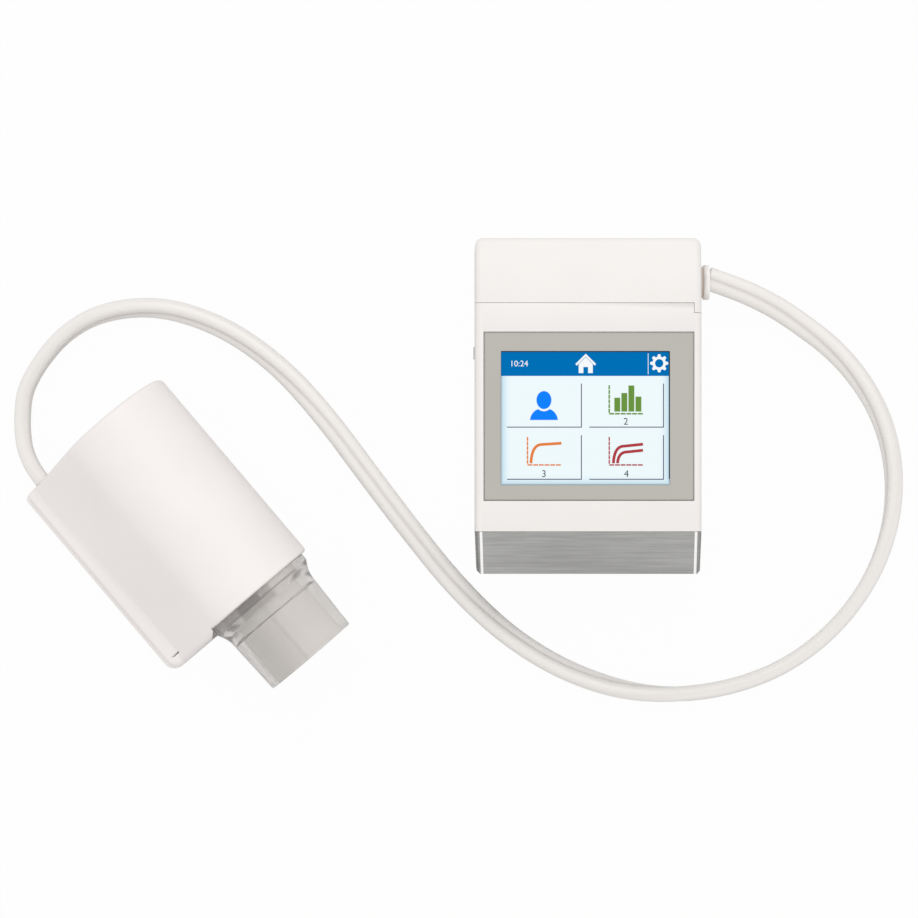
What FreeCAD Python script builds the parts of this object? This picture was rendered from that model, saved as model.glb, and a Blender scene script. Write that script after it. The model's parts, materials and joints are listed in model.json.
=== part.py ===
import FreeCAD, Part
import math
import os
import re

import Sketcher
from FreeCAD import Placement, Rotation, Vector

# A desk-top view of a hand-held spirometer: the recorder lies on its back with its touch
# screen up, the flow head lies beside it, and a soft twin tube carries the two pressures
# of the flow head to the recorder. Millimetres, +Z up, the table at z = 0 and the origin at
# the middle of the ground that the recorder and the flow head cover together.

dimensions = {
    # Layout on the table: the middle of the recorder, and the foot of the flow axis at the
    # exhaust end of the flow head
    "recorder_x": 82.5,
    "recorder_y": 20.8,
    "head_x": -91.3,
    "head_y": 15.8,
    "head_turn": -49.7,
    # Recorder case
    "case_width": 82.0,
    "case_length": 121.7,
    "case_height": 31.0,
    "case_wall": 2.4,
    "back_wall": 3.0,
    "front_wall": 2.6,
    "end_wall": 1.6,
    "split_height": 17.0,
    "hood_length": 23.65,
    "hood_fall": 2.8,
    "cheek_width": 2.7,
    "cheek_length": 3.6,
    "corner_radius": 3.0,
    "edge_radius": 2.2,
    "back_radius": 1.5,
    "tongue_length": 2.5,
    "tongue_thickness": 1.9,
    "tongue_root": 3.0,
    "seam_gap": 0.15,
    "seat_gap": 0.15,
    # Metal band round the lower end
    "trim_length": 15.35,
    "trim_wall": 1.0,
    "trim_lift": 2.0,
    "trim_taper": 0.6,
    "trim_corner": 1.2,
    # Touch panel and display
    "panel_width": 75.9,
    "panel_length": 60.9,
    "panel_thickness": 1.2,
    "panel_sunk": 0.15,
    "panel_x": 0.15,
    "panel_y": -3.9,
    "panel_radius": 0.8,
    "display_width": 69.0,
    "display_length": 55.0,
    "display_thickness": 3.2,
    "display_x": -1.15,
    "display_y": -4.5,
    "frame_thickness": 0.8,
    "frame_leg": 4.0,
    # Circuit boards
    "board_thickness": 1.6,
    "board_width": 75.0,
    "board_top_gap": 0.7,
    "port_board_height": 9.4,
    "port_board_left": 17.0,
    "port_board_right": 30.0,
    "port_board_low": 38.6,
    "port_board_high": 57.6,
    "port_boss_radius": 2.4,
    "chip_height": 1.7,
    "shield_height": 3.0,
    # Posts, screws and feet of the recorder
    "post_x": 34.0,
    "upper_post_y": 31.0,
    "lower_post_y": -40.0,
    "boss_radius": 4.0,
    "post_radius": 3.2,
    "screw_radius": 1.45,
    "screw_head_radius": 2.7,
    "screw_head_height": 1.9,
    "screw_slot": 0.6,
    "screw_reach": 8.0,
    "pilot_radius": 1.15,
    "foot_height": 1.0,
    "foot_radius": 4.0,
    "foot_recess": 0.6,
    "foot_x": 34.0,
    "upper_foot_y": 51.0,
    "lower_foot_y": -52.5,
    # Battery bay and its sliding door
    "cell_count": 4,
    "cell_diameter": 10.2,
    "cell_length": 43.3,
    "cell_nub": 1.1,
    "cell_nub_radius": 1.9,
    "cell_pitch": 10.8,
    "cell_gap": 0.25,
    "bay_wall": 1.2,
    "contact_thickness": 0.5,
    "contact_spring": 1.0,
    "door_width": 50.0,
    "door_length": 55.0,
    "door_thickness": 1.7,
    "door_depth": 1.85,
    "door_groove": 0.5,
    "door_travel": 6.0,
    "ledge_length": 5.0,
    "ledge_width": 1.2,
    "ledge_thickness": 0.8,
    "lower_ledge": 6.0,
    "upper_ledge": 33.0,
    "grip_start": 6.8,
    "grip_pitch": 3.4,
    "grip_rows": 5,
    "grip_width": 20.0,
    # Power button in the left wall
    "button_y": 19.3,
    "button_z": 21.6,
    "button_length": 4.4,
    "button_width": 3.4,
    "button_proud": 0.6,
    "button_gap": 0.15,
    "button_flange": 0.9,
    "button_flange_thickness": 0.8,
    "button_travel": 0.6,
    "switch_depth": 3.4,
    # Pressure socket, its plug and the tubes behind it
    "socket_y": 45.6,
    "socket_z": 15.5,
    "socket_length": 10.0,
    "socket_width": 6.0,
    "socket_depth": 9.0,
    "collar_length": 11.4,
    "collar_width": 7.4,
    "collar_thickness": 1.9,
    "port_pitch": 4.2,
    "port_radius": 1.2,
    "port_length": 5.0,
    "port_bore": 0.6,
    "plug_length": 12.8,
    "plug_width": 8.4,
    "plug_thickness": 2.2,
    "spigot_radius": 1.45,
    "spigot_length": 6.0,
    "spigot_gap": 0.1,
    "sensor_width": 13.6,
    "sensor_length": 14.0,
    "sensor_gap": 4.0,
    "hose_wall": 0.85,
    "hose_gap": 0.05,
    # Power inlet in the top end, and the sounder
    "inlet_width": 9.0,
    "inlet_height": 3.2,
    "inlet_depth": 7.4,
    "inlet_shell": 0.35,
    "sounder_radius": 5.0,
    "sounder_height": 2.6,
    # Flow head housing, in its own frame: x along the flow axis, y to the right
    "head_length": 85.1,
    "barrel_radius": 23.5,
    "barrel_setback": 2.8,
    "wing_slope": 50.0,
    "crease_reach": 37.7,
    "brim_reach": 43.3,
    "brim_fall": 2.4,
    "base_reach": 44.8,
    "shell_split": 9.5,
    "shell_wall": 2.2,
    "start_wall": 2.5,
    "far_wall": 3.5,
    "web_reach": 24.0,
    "start_round": 2.0,
    "far_round": 2.6,
    "barrel_round": 1.0,
    "corner_round": 4.5,
    "base_round": 1.0,
    "latch_x": 80.5,
    "latch_reach": 38.4,
    "latch_length": 3.0,
    "latch_width": 0.6,
    # Bore of the housing and what it holds
    "barrel_bore": 21.3,
    "socket_bore": 19.5,
    "start_socket": 10.0,
    "far_socket": 10.3,
    "sleeve_bore": 15.5,
    "sleeve_radius": 17.6,
    "sleeve_flange": 3.4,
    "sleeve_gap": 0.1,
    "sleeve_clear": 0.3,
    "groove_depth": 1.6,
    "groove_width": 1.9,
    "seal_radius": 0.8,
    "element_start": 24.0,
    "element_length": 36.0,
    "element_gap": 0.1,
    "element_hub": 2.2,
    "layer_pitch": 2.1,
    "layer_foil": 0.45,
    "channel_pitch": 2.7,
    "channel_base": 2.0,
    "spacer_length": 6.0,
    "spacer_wall": 1.3,
    "screen_thickness": 0.6,
    "screen_pitch": 4.2,
    "screen_hole": 2.9,
    "take_off_start": 28.0,
    "take_off_end": 54.0,
    "take_off_radius": 1.6,
    "take_off_reach": 20.8,
    # Clear mouthpiece adapter
    "adapter_gap": 0.1,
    "spigot_depth": 9.0,
    "spigot_clear": 0.3,
    "adapter_reach": 30.7,
    "flange_radius": 21.4,
    "flange_length": 2.6,
    "flare_length": 7.5,
    "waist_radius": 18.9,
    "mouth_radius": 18.15,
    "mouth_bore": 15.4,
    "mouth_depth": 14.7,
    "throat_radius": 14.3,
    "throat_length": 6.5,
    "chamber_radius": 16.9,
    "adapter_groove": 1.65,
    # Exhaust guard
    "guard_radius": 20.4,
    "guard_flange": 1.2,
    "guard_depth": 7.5,
    "guard_wall": 1.6,
    "guard_plate": 1.8,
    "outer_slots": 16,
    "outer_slot_low": 11.4,
    "outer_slot_high": 16.3,
    "outer_slot_width": 2.8,
    "inner_slots": 8,
    "inner_slot_low": 4.1,
    "inner_slot_high": 9.8,
    "inner_slot_width": 2.4,
    # Tube entry and the hoses inside the wing
    "grommet_reach": 35.7,
    "grommet_height": 7.2,
    "grommet_radius": 4.8,
    "grommet_length": 5.5,
    "grommet_gap": 0.1,
    "twin_pitch": 3.2,
    "hose_radius": 1.25,
    "hose_bend": 2.6,
    "riser_reach": 26.2,
    # Screws of the flow head
    "near_screw_x": 14.0,
    "near_screw_reach": 28.5,
    "far_screw_x": 67.0,
    "far_screw_reach": 33.0,
    "head_boss_radius": 3.4,
    "cover_boss_radius": 2.6,
    "head_screw_radius": 1.2,
    "head_screw_head": 2.4,
    "head_screw_sunk": 0.4,
    "head_screw_top": 15.0,
    # Free twin tube
    "tube_diameter": 7.4,
    "tube_lead": 11.8,
    "bend_share": 0.45,
}

# Points of the tube's route on the table, chosen by eye: from the recorder, round below
# it, back up between the two devices and round to the flow head
tube_route = [
    Vector(151, 62, 12.8),
    Vector(164, 52.5, 8),
    Vector(180.5, 38.5, 4.6),
    Vector(194, 18.5, 3.9),
    Vector(199, -9, 3.9),
    Vector(193.5, -37, 3.9),
    Vector(178, -60, 3.9),
    Vector(157, -77, 3.9),
    Vector(131, -86, 3.9),
    Vector(104, -87, 3.9),
    Vector(78, -79, 3.9),
    Vector(55, -65.5, 3.9),
    Vector(35, -47, 3.9),
    Vector(17, -25.5, 3.9),
    Vector(1, -4.5, 3.9),
    Vector(-14.5, 17.5, 3.9),
    Vector(-32, 37, 3.9),
    Vector(-54.5, 52.5, 3.9),
    Vector(-81, 59.5, 3.9),
    Vector(-106, 54.5, 3.9),
    Vector(-121.5, 41.5, 4.2),
    Vector(-128.5, 25.5, 5.1),
    Vector(-129.9, 13, 6.5),
]

# Parts on the main board, each with its middle across and along the board, width and length
flat_chips = [
    (-8, -2, 14, 14),
    (10, 2, 9, 9),
    (-2, -20, 8, 5),
    (10, -15, 5, 6),
    (-20, -22, 6, 6),
    (22, -6, 7, 10),
]
tall_chips = [(-16, 15, 18, 14), (10, 17, 22, 5), (18, -24, 9, 7)]

doc = FreeCAD.newDocument("spirometer")
sizes = doc.addObject("Spreadsheet::Sheet", "sizes")
for row, (alias, number) in enumerate(dimensions.items(), 1):
    sizes.set(f"A{row}", alias)
    sizes.set(f"B{row}", str(number))
    sizes.setAlias(f"B{row}", alias)
doc.recompute()

# Places that several pieces share, as formulas of the sizes above
case_top = "(foot_height + case_height)"
case_end = "(case_length/2)"
seam_y = "(case_length/2 - hood_length)"
joint_y = "(trim_length - case_length/2)"
spigot_y = "(trim_wall + seam_gap - case_length/2)"
inner_y = "(trim_wall + seam_gap + end_wall - case_length/2)"
spigot_x = "(case_width/2 - trim_taper - trim_wall - seam_gap)"
inner_x = "(case_width/2 - case_wall)"
floor_z = "(foot_height + back_wall)"
board_top = "(split_height + board_thickness)"
panel_floor = f"({case_top} - panel_sunk - panel_thickness)"
display_floor = f"({panel_floor} - display_thickness)"
frame_floor = f"({display_floor} - frame_thickness)"
cell_axis = "(foot_height + door_depth + cell_gap + cell_diameter/2)"
bay_ceiling = f"({cell_axis} + cell_diameter/2 + cell_gap)"
bay_half = "(2*cell_pitch + cell_gap)"
bay_length = "(cell_length + cell_nub + contact_spring + 2*contact_thickness + 4*cell_gap)"
cells_start = f"({inner_y} + contact_thickness + contact_spring + cell_gap)"
posts = [
    ("post_x", "upper_post_y"),
    ("-post_x", "upper_post_y"),
    ("post_x", "lower_post_y"),
    ("-post_x", "lower_post_y"),
]
foot_places = [
    ("foot_x", "upper_foot_y"),
    ("-foot_x", "upper_foot_y"),
    ("foot_x", "lower_foot_y"),
    ("-foot_x", "lower_foot_y"),
]
ledge_starts = [f"({start} - case_length/2)" for start in ("lower_ledge", "upper_ledge")]
port_board_top = "(port_board_height + board_thickness)"
socket_face = "(case_width/2 + collar_thickness)"
socket_back = f"({socket_face} - socket_depth)"
sensor_face = f"({socket_back} - port_length - sensor_gap)"
barrel_end = "(head_length - barrel_setback)"
shoulder_far = f"({barrel_end} - far_socket)"
split_y = "sqrt(barrel_radius^2 - (barrel_radius - shell_split)^2)"
element_end = "(element_start + element_length)"


def slope_height(reach):
    # Height of the wing's outer plane at that reach to the left of the flow axis
    fall = f"(({reach}) - barrel_radius*sin(wing_slope))*tan(wing_slope)"
    return f"(barrel_radius + barrel_radius*cos(wing_slope) - {fall})"


crease_height = slope_height("crease_reach")
brim_height = f"({crease_height} - brim_fall)"


def rule(text):
    # A formula with each size's name turned into a reference to its cell
    def cell(word):
        name = word.group()
        return f"sizes.{name}" if name in dimensions else name

    return re.sub(r"[a-z][a-z_]*[a-z]", cell, str(text))


def measure(text):
    return float(sizes.evalExpression(rule(text)))


def bind(thing, target, text):
    thing.setExpression(target, rule(text))


def is_zero(text):
    return abs(measure(text)) < 1e-9


frames = {
    "recorder": Placement(
        Vector(measure("recorder_x"), measure("recorder_y"), 0), Rotation()
    ),
    "head": Placement(
        Vector(measure("head_x"), measure("head_y"), 0),
        Rotation(Vector(0, 0, 1), measure("head_turn")),
    ),
}
frames["barrel"] = frames["head"] * Placement(
    Vector(0, 0, measure("barrel_radius")), Rotation()
)
frames["grommet"] = frames["head"] * Placement(
    Vector(0, -measure("grommet_reach"), measure("grommet_height")), Rotation()
)
pieces = []


def new_body(label, frame):
    body = doc.addObject("PartDesign::Body", label)
    body.Label = label
    body.AllowCompound = True
    body.Placement = frames[frame]
    pieces.append(body)
    return body


def origin_part(body, role):
    return next(f for f in body.Origin.OriginFeatures if f.Role == role)


def sketch(body, role="XY_Plane", height="0"):
    # An empty outline on a plane of the body, raised along that plane's normal
    outline = body.newObject("Sketcher::SketchObject", f"{body.Label}_outline")
    outline.AttachmentSupport = (origin_part(body, role), [""])
    outline.MapMode = "FlatFace"
    bind(outline, "AttachmentOffset.Base.z", height)
    return outline


def hold(outline, shape, point, x, y=None):
    # Holds one point of the outline at a formula's place
    for text, kind, same in ((x, "DistanceX", "Vertical"), (y, "DistanceY", "Horizontal")):
        if text is None:
            continue
        if is_zero(text):
            outline.addConstraint(Sketcher.Constraint(same, -1, 1, shape, point))
            continue
        index = outline.addConstraint(
            Sketcher.Constraint(kind, -1, 1, shape, point, measure(text))
        )
        bind(outline, f"Constraints[{index}]", text)


def polygon(outline, corners, arcs=None):
    # A closed outline through the corners. arcs maps a side to the formula of its centre's
    # first coordinate and to whether the side turns to the left
    arcs = arcs or {}
    first = outline.GeometryCount
    spots = [Vector(measure(x), measure(y), 0) for x, y in corners]
    ends = []
    for side, start in enumerate(spots):
        stop = spots[(side + 1) % len(spots)]
        if side not in arcs:
            outline.addGeometry(Part.LineSegment(start, stop))
            ends.append((1, 2))
            continue
        across, leftward = measure(arcs[side][0]), arcs[side][1]
        rise = (stop.x - across) ** 2 + stop.y**2 - (start.x - across) ** 2 - start.y**2
        centre = Vector(across, rise / (2 * (stop.y - start.y)), 0)
        circle = Part.Circle(centre, Vector(0, 0, 1), start.distanceToPoint(centre))
        angles = [math.atan2(p.y - centre.y, p.x - centre.x) for p in (start, stop)]
        if not leftward:
            angles.reverse()
        if angles[1] < angles[0]:
            angles[1] += 2 * math.pi
        outline.addGeometry(Part.ArcOfCircle(circle, *angles))
        ends.append((1, 2) if leftward else (2, 1))
        hold(outline, first + side, 3, arcs[side][0])
    for side in range(len(spots)):
        following = (side + 1) % len(spots)
        outline.addConstraint(
            Sketcher.Constraint(
                "Coincident", first + side, ends[side][1], first + following, ends[following][0]
            )
        )
    for side, (x, y) in enumerate(corners):
        hold(outline, first + side, ends[side][0], x, y)


def rectangle(outline, x0, x1, y0, y1):
    polygon(outline, [(x0, y0), (x1, y0), (x1, y1), (x0, y1)])


def circle(outline, x, y, radius):
    index = outline.addGeometry(
        Part.Circle(Vector(measure(x), measure(y), 0), Vector(0, 0, 1), measure(radius))
    )
    hold(outline, index, 3, x, y)
    held = outline.addConstraint(Sketcher.Constraint("Radius", index, measure(radius)))
    bind(outline, f"Constraints[{held}]", radius)


def oblong(outline, x, y, length, width):
    # A slot shape along the outline's first axis: two half circles and two straight sides
    radius = measure(width) / 2
    half = (measure(length) - measure(width)) / 2
    middle = Vector(measure(x), measure(y), 0)
    left, right = middle - Vector(half, 0, 0), middle + Vector(half, 0, 0)
    up = Vector(0, radius, 0)
    first = outline.GeometryCount
    for centre, begin in ((right, -math.pi / 2), (left, math.pi / 2)):
        ring = Part.Circle(centre, Vector(0, 0, 1), radius)
        outline.addGeometry(Part.ArcOfCircle(ring, begin, begin + math.pi))
    outline.addGeometry(Part.LineSegment(right + up, left + up))
    outline.addGeometry(Part.LineSegment(left - up, right - up))
    joins = ((0, 2, 2, 1), (2, 2, 1, 1), (1, 2, 3, 1), (3, 2, 0, 1))
    for a, end_a, b, end_b in joins:
        outline.addConstraint(
            Sketcher.Constraint("Tangent", first + a, end_a, first + b, end_b)
        )
    hold(outline, first, 3, f"({x}) + ({length} - {width})/2", y)
    hold(outline, first + 1, 3, f"({x}) - ({length} - {width})/2")
    held = outline.addConstraint(Sketcher.Constraint("Radius", first, radius))
    bind(outline, f"Constraints[{held}]", f"({width})/2")


def pad(body, outline, length, symmetric=False, flip=False):
    feature = body.newObject("PartDesign::Pad", f"{body.Label}_pad")
    feature.Profile = outline
    bind(feature, "Length", length)
    feature.SideType = "Symmetric" if symmetric else "One side"
    feature.Reversed = flip
    doc.recompute()
    return feature


def pocket(body, outline, length, symmetric=False, flip=False):
    # A cut against the outline's normal, or along it when flipped
    before = body.Shape.Volume
    feature = body.newObject("PartDesign::Pocket", f"{body.Label}_pocket")
    feature.Profile = outline
    bind(feature, "Length", length)
    feature.SideType = "Symmetric" if symmetric else "One side"
    feature.Reversed = flip
    doc.recompute()
    if feature.Shape.Volume > before - 1e-6:
        raise ValueError(f"{feature.Name} cuts nothing")
    return feature


def revolve(body, outline):
    feature = body.newObject("PartDesign::Revolution", f"{body.Label}_turned")
    feature.Profile = outline
    feature.ReferenceAxis = (origin_part(body, "X_Axis"), [""])
    feature.Angle = 360
    doc.recompute()
    return feature


def round_edges(body, radius, chosen):
    # Rounds those edges of the body's last feature that the test picks
    base = body.Tip
    names = [
        f"Edge{number}"
        for number, edge in enumerate(base.Shape.Edges, 1)
        if chosen(edge, edge.BoundBox)
    ]
    if not names:
        raise ValueError(f"{body.Label} has no edge to round")
    feature = body.newObject("PartDesign::Fillet", f"{body.Label}_edge")
    feature.Base = (base, names)
    bind(feature, "Radius", radius)
    doc.recompute()
    if feature.Shape.isNull() or not feature.Shape.isValid():
        raise ValueError(f"{feature.Name} did not round {names}")
    return feature


def ring_of_cuts(body, outline, length, count):
    # Cuts the outline through the body and repeats it evenly round the X axis
    cut = pocket(body, outline, length)
    pattern = body.newObject("PartDesign::PolarPattern", f"{body.Label}_ring")
    pattern.Originals = [cut]
    pattern.Axis = (origin_part(body, "X_Axis"), [""])
    pattern.Angle = 360
    pattern.Occurrences = count
    body.Tip = pattern
    doc.recompute()
    return pattern


tolerance = 1e-3


def near(a, b):
    return abs(a - b) < tolerance


def add_posts(body, places, low, high, radius):
    outline = sketch(body, height=low)
    for x, y in places:
        circle(outline, x, y, radius)
    pad(body, outline, f"({high}) - ({low})")


def drill(body, places, low, high, radius):
    # Round holes that start at the low height and run up to the high one
    outline = sketch(body, height=low)
    for x, y in places:
        circle(outline, x, y, radius)
    pocket(body, outline, f"({high}) - ({low})", flip=True)


def lower_corner():
    # The tapered and bevelled lower right corner of the case, seen from the front
    narrow = "(case_width/2 - trim_taper)"
    return [(narrow, f"trim_corner - {case_end}"), (f"{narrow} - trim_corner", f"-{case_end}")]


def rear_case():
    # Tub of the recorder, whose top end wraps over the front as a hood
    body = new_body("rear_case", "recorder")
    side = sketch(body, "YZ_Plane")
    corners = [
        (f"-{case_end}", "foot_height"),
        (case_end, "foot_height"),
        (case_end, f"{case_top} - hood_fall"),
        (seam_y, case_top),
        (seam_y, "split_height"),
        (joint_y, "split_height"),
        (joint_y, "foot_height + trim_lift - seam_gap"),
        (f"-{case_end}", "foot_height + trim_lift - seam_gap"),
    ]
    polygon(side, corners, arcs={2: (seam_y, True)})
    pad(body, side, "case_width", symmetric=True)
    lower = sketch(body, height="foot_height + trim_lift/2")
    rectangle(lower, f"-{spigot_x}", spigot_x, spigot_y, joint_y)
    pad(body, lower, "split_height - foot_height - trim_lift/2")
    cheek = sketch(body, height="split_height")
    rectangle(
        cheek,
        "case_width/2 - cheek_width",
        "case_width/2",
        f"{seam_y} - cheek_length",
        seam_y,
    )
    pad(body, cheek, f"{case_top} - split_height")
    beside = sketch(body, height="foot_height")
    for side in ("", "-"):
        points = [("case_width/2", joint_y), *lower_corner(), ("case_width/2", f"-{case_end}")]
        polygon(beside, [(f"{side}({x})", y) for x, y in points])
    pocket(body, beside, "trim_lift", flip=True)
    half, end, top = measure("case_width/2"), measure(case_end), measure(case_top)
    bottom, step = measure("foot_height"), measure(seam_y)

    def upright(edge, box):
        outside = near(abs(box.Center.x), half) and near(box.Center.y, end)
        return outside and box.ZLength > measure("hood_fall")

    round_edges(body, "corner_radius", upright)

    def top_rim(edge, box):
        beside = near(abs(box.Center.x), half) and box.XLength < tolerance
        behind = box.YMin > end - measure("corner_radius") - tolerance
        high = box.ZMin > top - 1.5*measure("hood_fall")
        ahead = box.YMin > step - measure("cheek_length") - tolerance
        level = box.ZLength < 1.5*measure("hood_fall")
        return high and ahead and level and (beside or behind)

    round_edges(body, "edge_radius", top_rim)

    def bottom_rim(edge, box):
        return near(box.ZMax, bottom)

    round_edges(body, "back_radius", bottom_rim)

    hollow = sketch(body, "YZ_Plane")
    corners = [
        (inner_y, floor_z),
        (f"{case_end} - case_wall", floor_z),
        (f"{case_end} - case_wall", f"{case_top} - hood_fall - case_wall"),
        (seam_y, f"{case_top} - case_wall"),
        (inner_y, f"{case_top} - case_wall"),
    ]
    polygon(hollow, corners, arcs={2: (seam_y, True)})
    pocket(body, hollow, "case_width - 2*case_wall", symmetric=True)

    bay = sketch(body, height="foot_height + back_wall/2")
    bay_end = f"({inner_y} + {bay_length})"
    rectangle(
        bay,
        f"-({bay_half} + bay_wall)",
        f"{bay_half} + bay_wall",
        spigot_y,
        f"{bay_end} + bay_wall",
    )
    pad(body, bay, f"{bay_ceiling} + bay_wall - foot_height - back_wall/2")
    opening = sketch(body, height="foot_height")
    rectangle(opening, f"-{bay_half}", bay_half, inner_y, bay_end)
    pocket(body, opening, f"{bay_ceiling} - foot_height", flip=True)

    slide = sketch(body, height="foot_height")
    door_side = "(door_width/2 + seat_gap)"
    rectangle(
        slide, f"-{door_side}", door_side, f"-{case_end}", f"door_length + seat_gap - {case_end}"
    )
    pocket(body, slide, "door_depth", flip=True)
    ledges = sketch(body, height="foot_height")
    for side in ("-", ""):
        for y in ledge_starts:
            rectangle(
                ledges,
                f"{side}({door_side} - ledge_width)",
                f"{side}({door_side} + seat_gap)",
                y,
                f"{y} + ledge_length",
            )
    pad(body, ledges, "ledge_thickness")

    add_posts(body, posts, "(foot_height + back_wall/2)", "split_height", "boss_radius")
    port_posts = [
        ("-port_board_left + port_boss_radius", "port_board_high - port_boss_radius"),
        ("-port_board_left + port_boss_radius", "port_board_low + port_boss_radius"),
        ("port_board_right - port_boss_radius", "port_board_high - port_boss_radius"),
        ("port_board_right - port_boss_radius", "port_board_low + port_boss_radius"),
    ]
    add_posts(
        body, port_posts, "(foot_height + back_wall/2)", "port_board_height", "port_boss_radius"
    )
    drill(body, posts, "foot_height", "split_height", "screw_radius + seat_gap")
    drill(
        body,
        posts,
        "foot_height",
        "foot_height + screw_head_height + seat_gap",
        "screw_head_radius + seat_gap",
    )
    drill(
        body,
        foot_places,
        "foot_height",
        "foot_height + foot_recess",
        "foot_radius + seat_gap",
    )
    socket = sketch(body, "YZ_Plane", "case_width/2")
    oblong(
        socket,
        "socket_y",
        "socket_z",
        "socket_length + 2*seat_gap",
        "socket_width + 2*seat_gap",
    )
    pocket(body, socket, "2*case_wall")
    inlet = sketch(body, "XZ_Plane", f"-{case_end}")
    rectangle(
        inlet,
        "-inlet_width/2 - seat_gap",
        "inlet_width/2 + seat_gap",
        f"{port_board_top} - seat_gap",
        f"{port_board_top} + inlet_height + seat_gap",
    )
    pocket(body, inlet, "2*case_wall", flip=True)
    return body


def front_case():
    # Front cover with the recess of the touch panel and a tongue under the hood
    body = new_body("front_case", "recorder")
    plate = sketch(body, height="split_height")
    step_x = "(case_width/2 - cheek_width - seam_gap)"
    step_y = f"({seam_y} - cheek_length - seam_gap)"
    corners = [
        ("-case_width/2", joint_y),
        ("case_width/2", joint_y),
        ("case_width/2", step_y),
        (step_x, step_y),
        (step_x, f"{seam_y} - seam_gap"),
        ("-case_width/2", f"{seam_y} - seam_gap"),
    ]
    polygon(plate, corners)
    pad(body, plate, f"{case_top} - split_height")
    half, top = measure("case_width/2"), measure(case_top)

    def long_edge(edge, box):
        beside = near(abs(box.Center.x), half)
        return beside and near(box.ZMin, top) and box.YLength > measure("cheek_length")

    round_edges(body, "edge_radius", long_edge)
    lower = sketch(body, height="split_height")
    rectangle(lower, f"-{spigot_x}", spigot_x, spigot_y, f"{joint_y} + end_wall")
    pad(body, lower, f"{case_top} - trim_wall - seam_gap - split_height")
    hollow = sketch(body, height="split_height")
    rectangle(hollow, f"-{inner_x}", inner_x, inner_y, f"{seam_y} + case_wall")
    pocket(body, hollow, f"{case_top} - front_wall - split_height", flip=True)

    tongue_top = f"({case_top} - case_wall - seam_gap)"
    tongue_x = f"({inner_x} - cheek_width)"
    tongue = sketch(body, height=f"{tongue_top} - tongue_thickness")
    rectangle(
        tongue, f"-{tongue_x}", tongue_x, f"{seam_y} - tongue_root", f"{seam_y} + tongue_length"
    )
    pad(body, tongue, "tongue_thickness")

    recess = sketch(body, height=case_top)
    rectangle(
        recess,
        "panel_x - panel_width/2 - seat_gap",
        "panel_x + panel_width/2 + seat_gap",
        "panel_y - panel_length/2 - seat_gap",
        "panel_y + panel_length/2 + seat_gap",
    )
    pocket(body, recess, "panel_sunk + panel_thickness")
    window = sketch(body, height=case_top)
    rectangle(
        window,
        "display_x - display_width/2 - seat_gap",
        "display_x + display_width/2 + seat_gap",
        "display_y - display_length/2 - seat_gap",
        "display_y + display_length/2 + seat_gap",
    )
    pocket(body, window, "2*front_wall")

    add_posts(body, posts, board_top, f"({case_top} - front_wall/2)", "post_radius")
    drill(body, posts, board_top, f"({board_top} + screw_reach + seat_gap)", "pilot_radius")
    button = sketch(body, "YZ_Plane", "-case_width/2")
    rectangle(
        button,
        "button_y - button_length/2 - button_gap",
        "button_y + button_length/2 + button_gap",
        "button_z - button_width/2 - button_gap",
        "button_z + button_width/2 + button_gap",
    )
    pocket(body, button, "case_wall + seat_gap", flip=True)
    return body


def base_trim():
    # Metal band that wraps the front, the sides and the lower end
    body = new_body("base_trim", "recorder")
    plate = sketch(body, height="foot_height + trim_lift")
    right = [("case_width/2", f"{joint_y} - seam_gap"), *lower_corner()]
    left = [(f"-({x})", y) for x, y in reversed(right)]
    polygon(plate, right + left)
    pad(body, plate, f"{case_top} - foot_height - trim_lift")
    top, half = measure(case_top), measure("case_width/2 - trim_taper")

    def long_edge(edge, box):
        beside = abs(box.Center.x) > half - tolerance
        return beside and near(box.ZMin, top) and box.YLength > measure("trim_corner")

    round_edges(body, "edge_radius", long_edge)
    hollow = sketch(body, height="foot_height + trim_lift")
    rectangle(
        hollow,
        f"-({spigot_x} + seam_gap)",
        f"{spigot_x} + seam_gap",
        f"trim_wall - {case_end}",
        joint_y,
    )
    pocket(body, hollow, "case_height - trim_lift - trim_wall", flip=True)
    return body


def plate_piece(label, frame, low, thickness, x0, x1, y0, y1):
    body = new_body(label, frame)
    outline = sketch(body, height=low)
    rectangle(outline, x0, x1, y0, y1)
    pad(body, outline, thickness)
    return body


def centred(middle, length):
    return f"{middle} - {length}/2", f"{middle} + {length}/2"


def touch_panel():
    body = plate_piece(
        "touch_panel",
        "recorder",
        panel_floor,
        "panel_thickness",
        *centred("panel_x", "panel_width"),
        *centred("panel_y", "panel_length"),
    )
    round_edges(body, "panel_radius", lambda edge, box: box.ZLength > tolerance)
    return body


def display_module():
    return plate_piece(
        "display_module",
        "recorder",
        display_floor,
        "display_thickness",
        *centred("display_x", "display_width"),
        *centred("display_y", "display_length"),
    )


def display_frame():
    # Sheet-metal tray under the display, standing on the main board
    x0, x1 = centred("display_x", "display_width")
    y0, y1 = centred("display_y", "display_length")
    body = plate_piece(
        "display_frame", "recorder", frame_floor, "frame_thickness", x0, x1, y0, y1
    )
    legs = sketch(body, height=board_top)
    for x_in, x_out in ((x0, f"{x0} + frame_leg"), (f"{x1} - frame_leg", x1)):
        for y_in, y_out in (
            (f"{y0} + 2*frame_leg", f"{y0} + 3*frame_leg"),
            (f"{y1} - 3*frame_leg", f"{y1} - 2*frame_leg"),
        ):
            rectangle(legs, x_in, x_out, y_in, y_out)
    pad(body, legs, f"{frame_floor} - {board_top}")
    return body


def main_board():
    body = plate_piece(
        "main_board",
        "recorder",
        "split_height",
        "board_thickness",
        *centred("0", "board_width"),
        f"{inner_y} + board_top_gap",
        f"{seam_y} - board_top_gap",
    )
    drill(body, posts, "split_height", board_top, "screw_radius + seat_gap")
    return body


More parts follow.
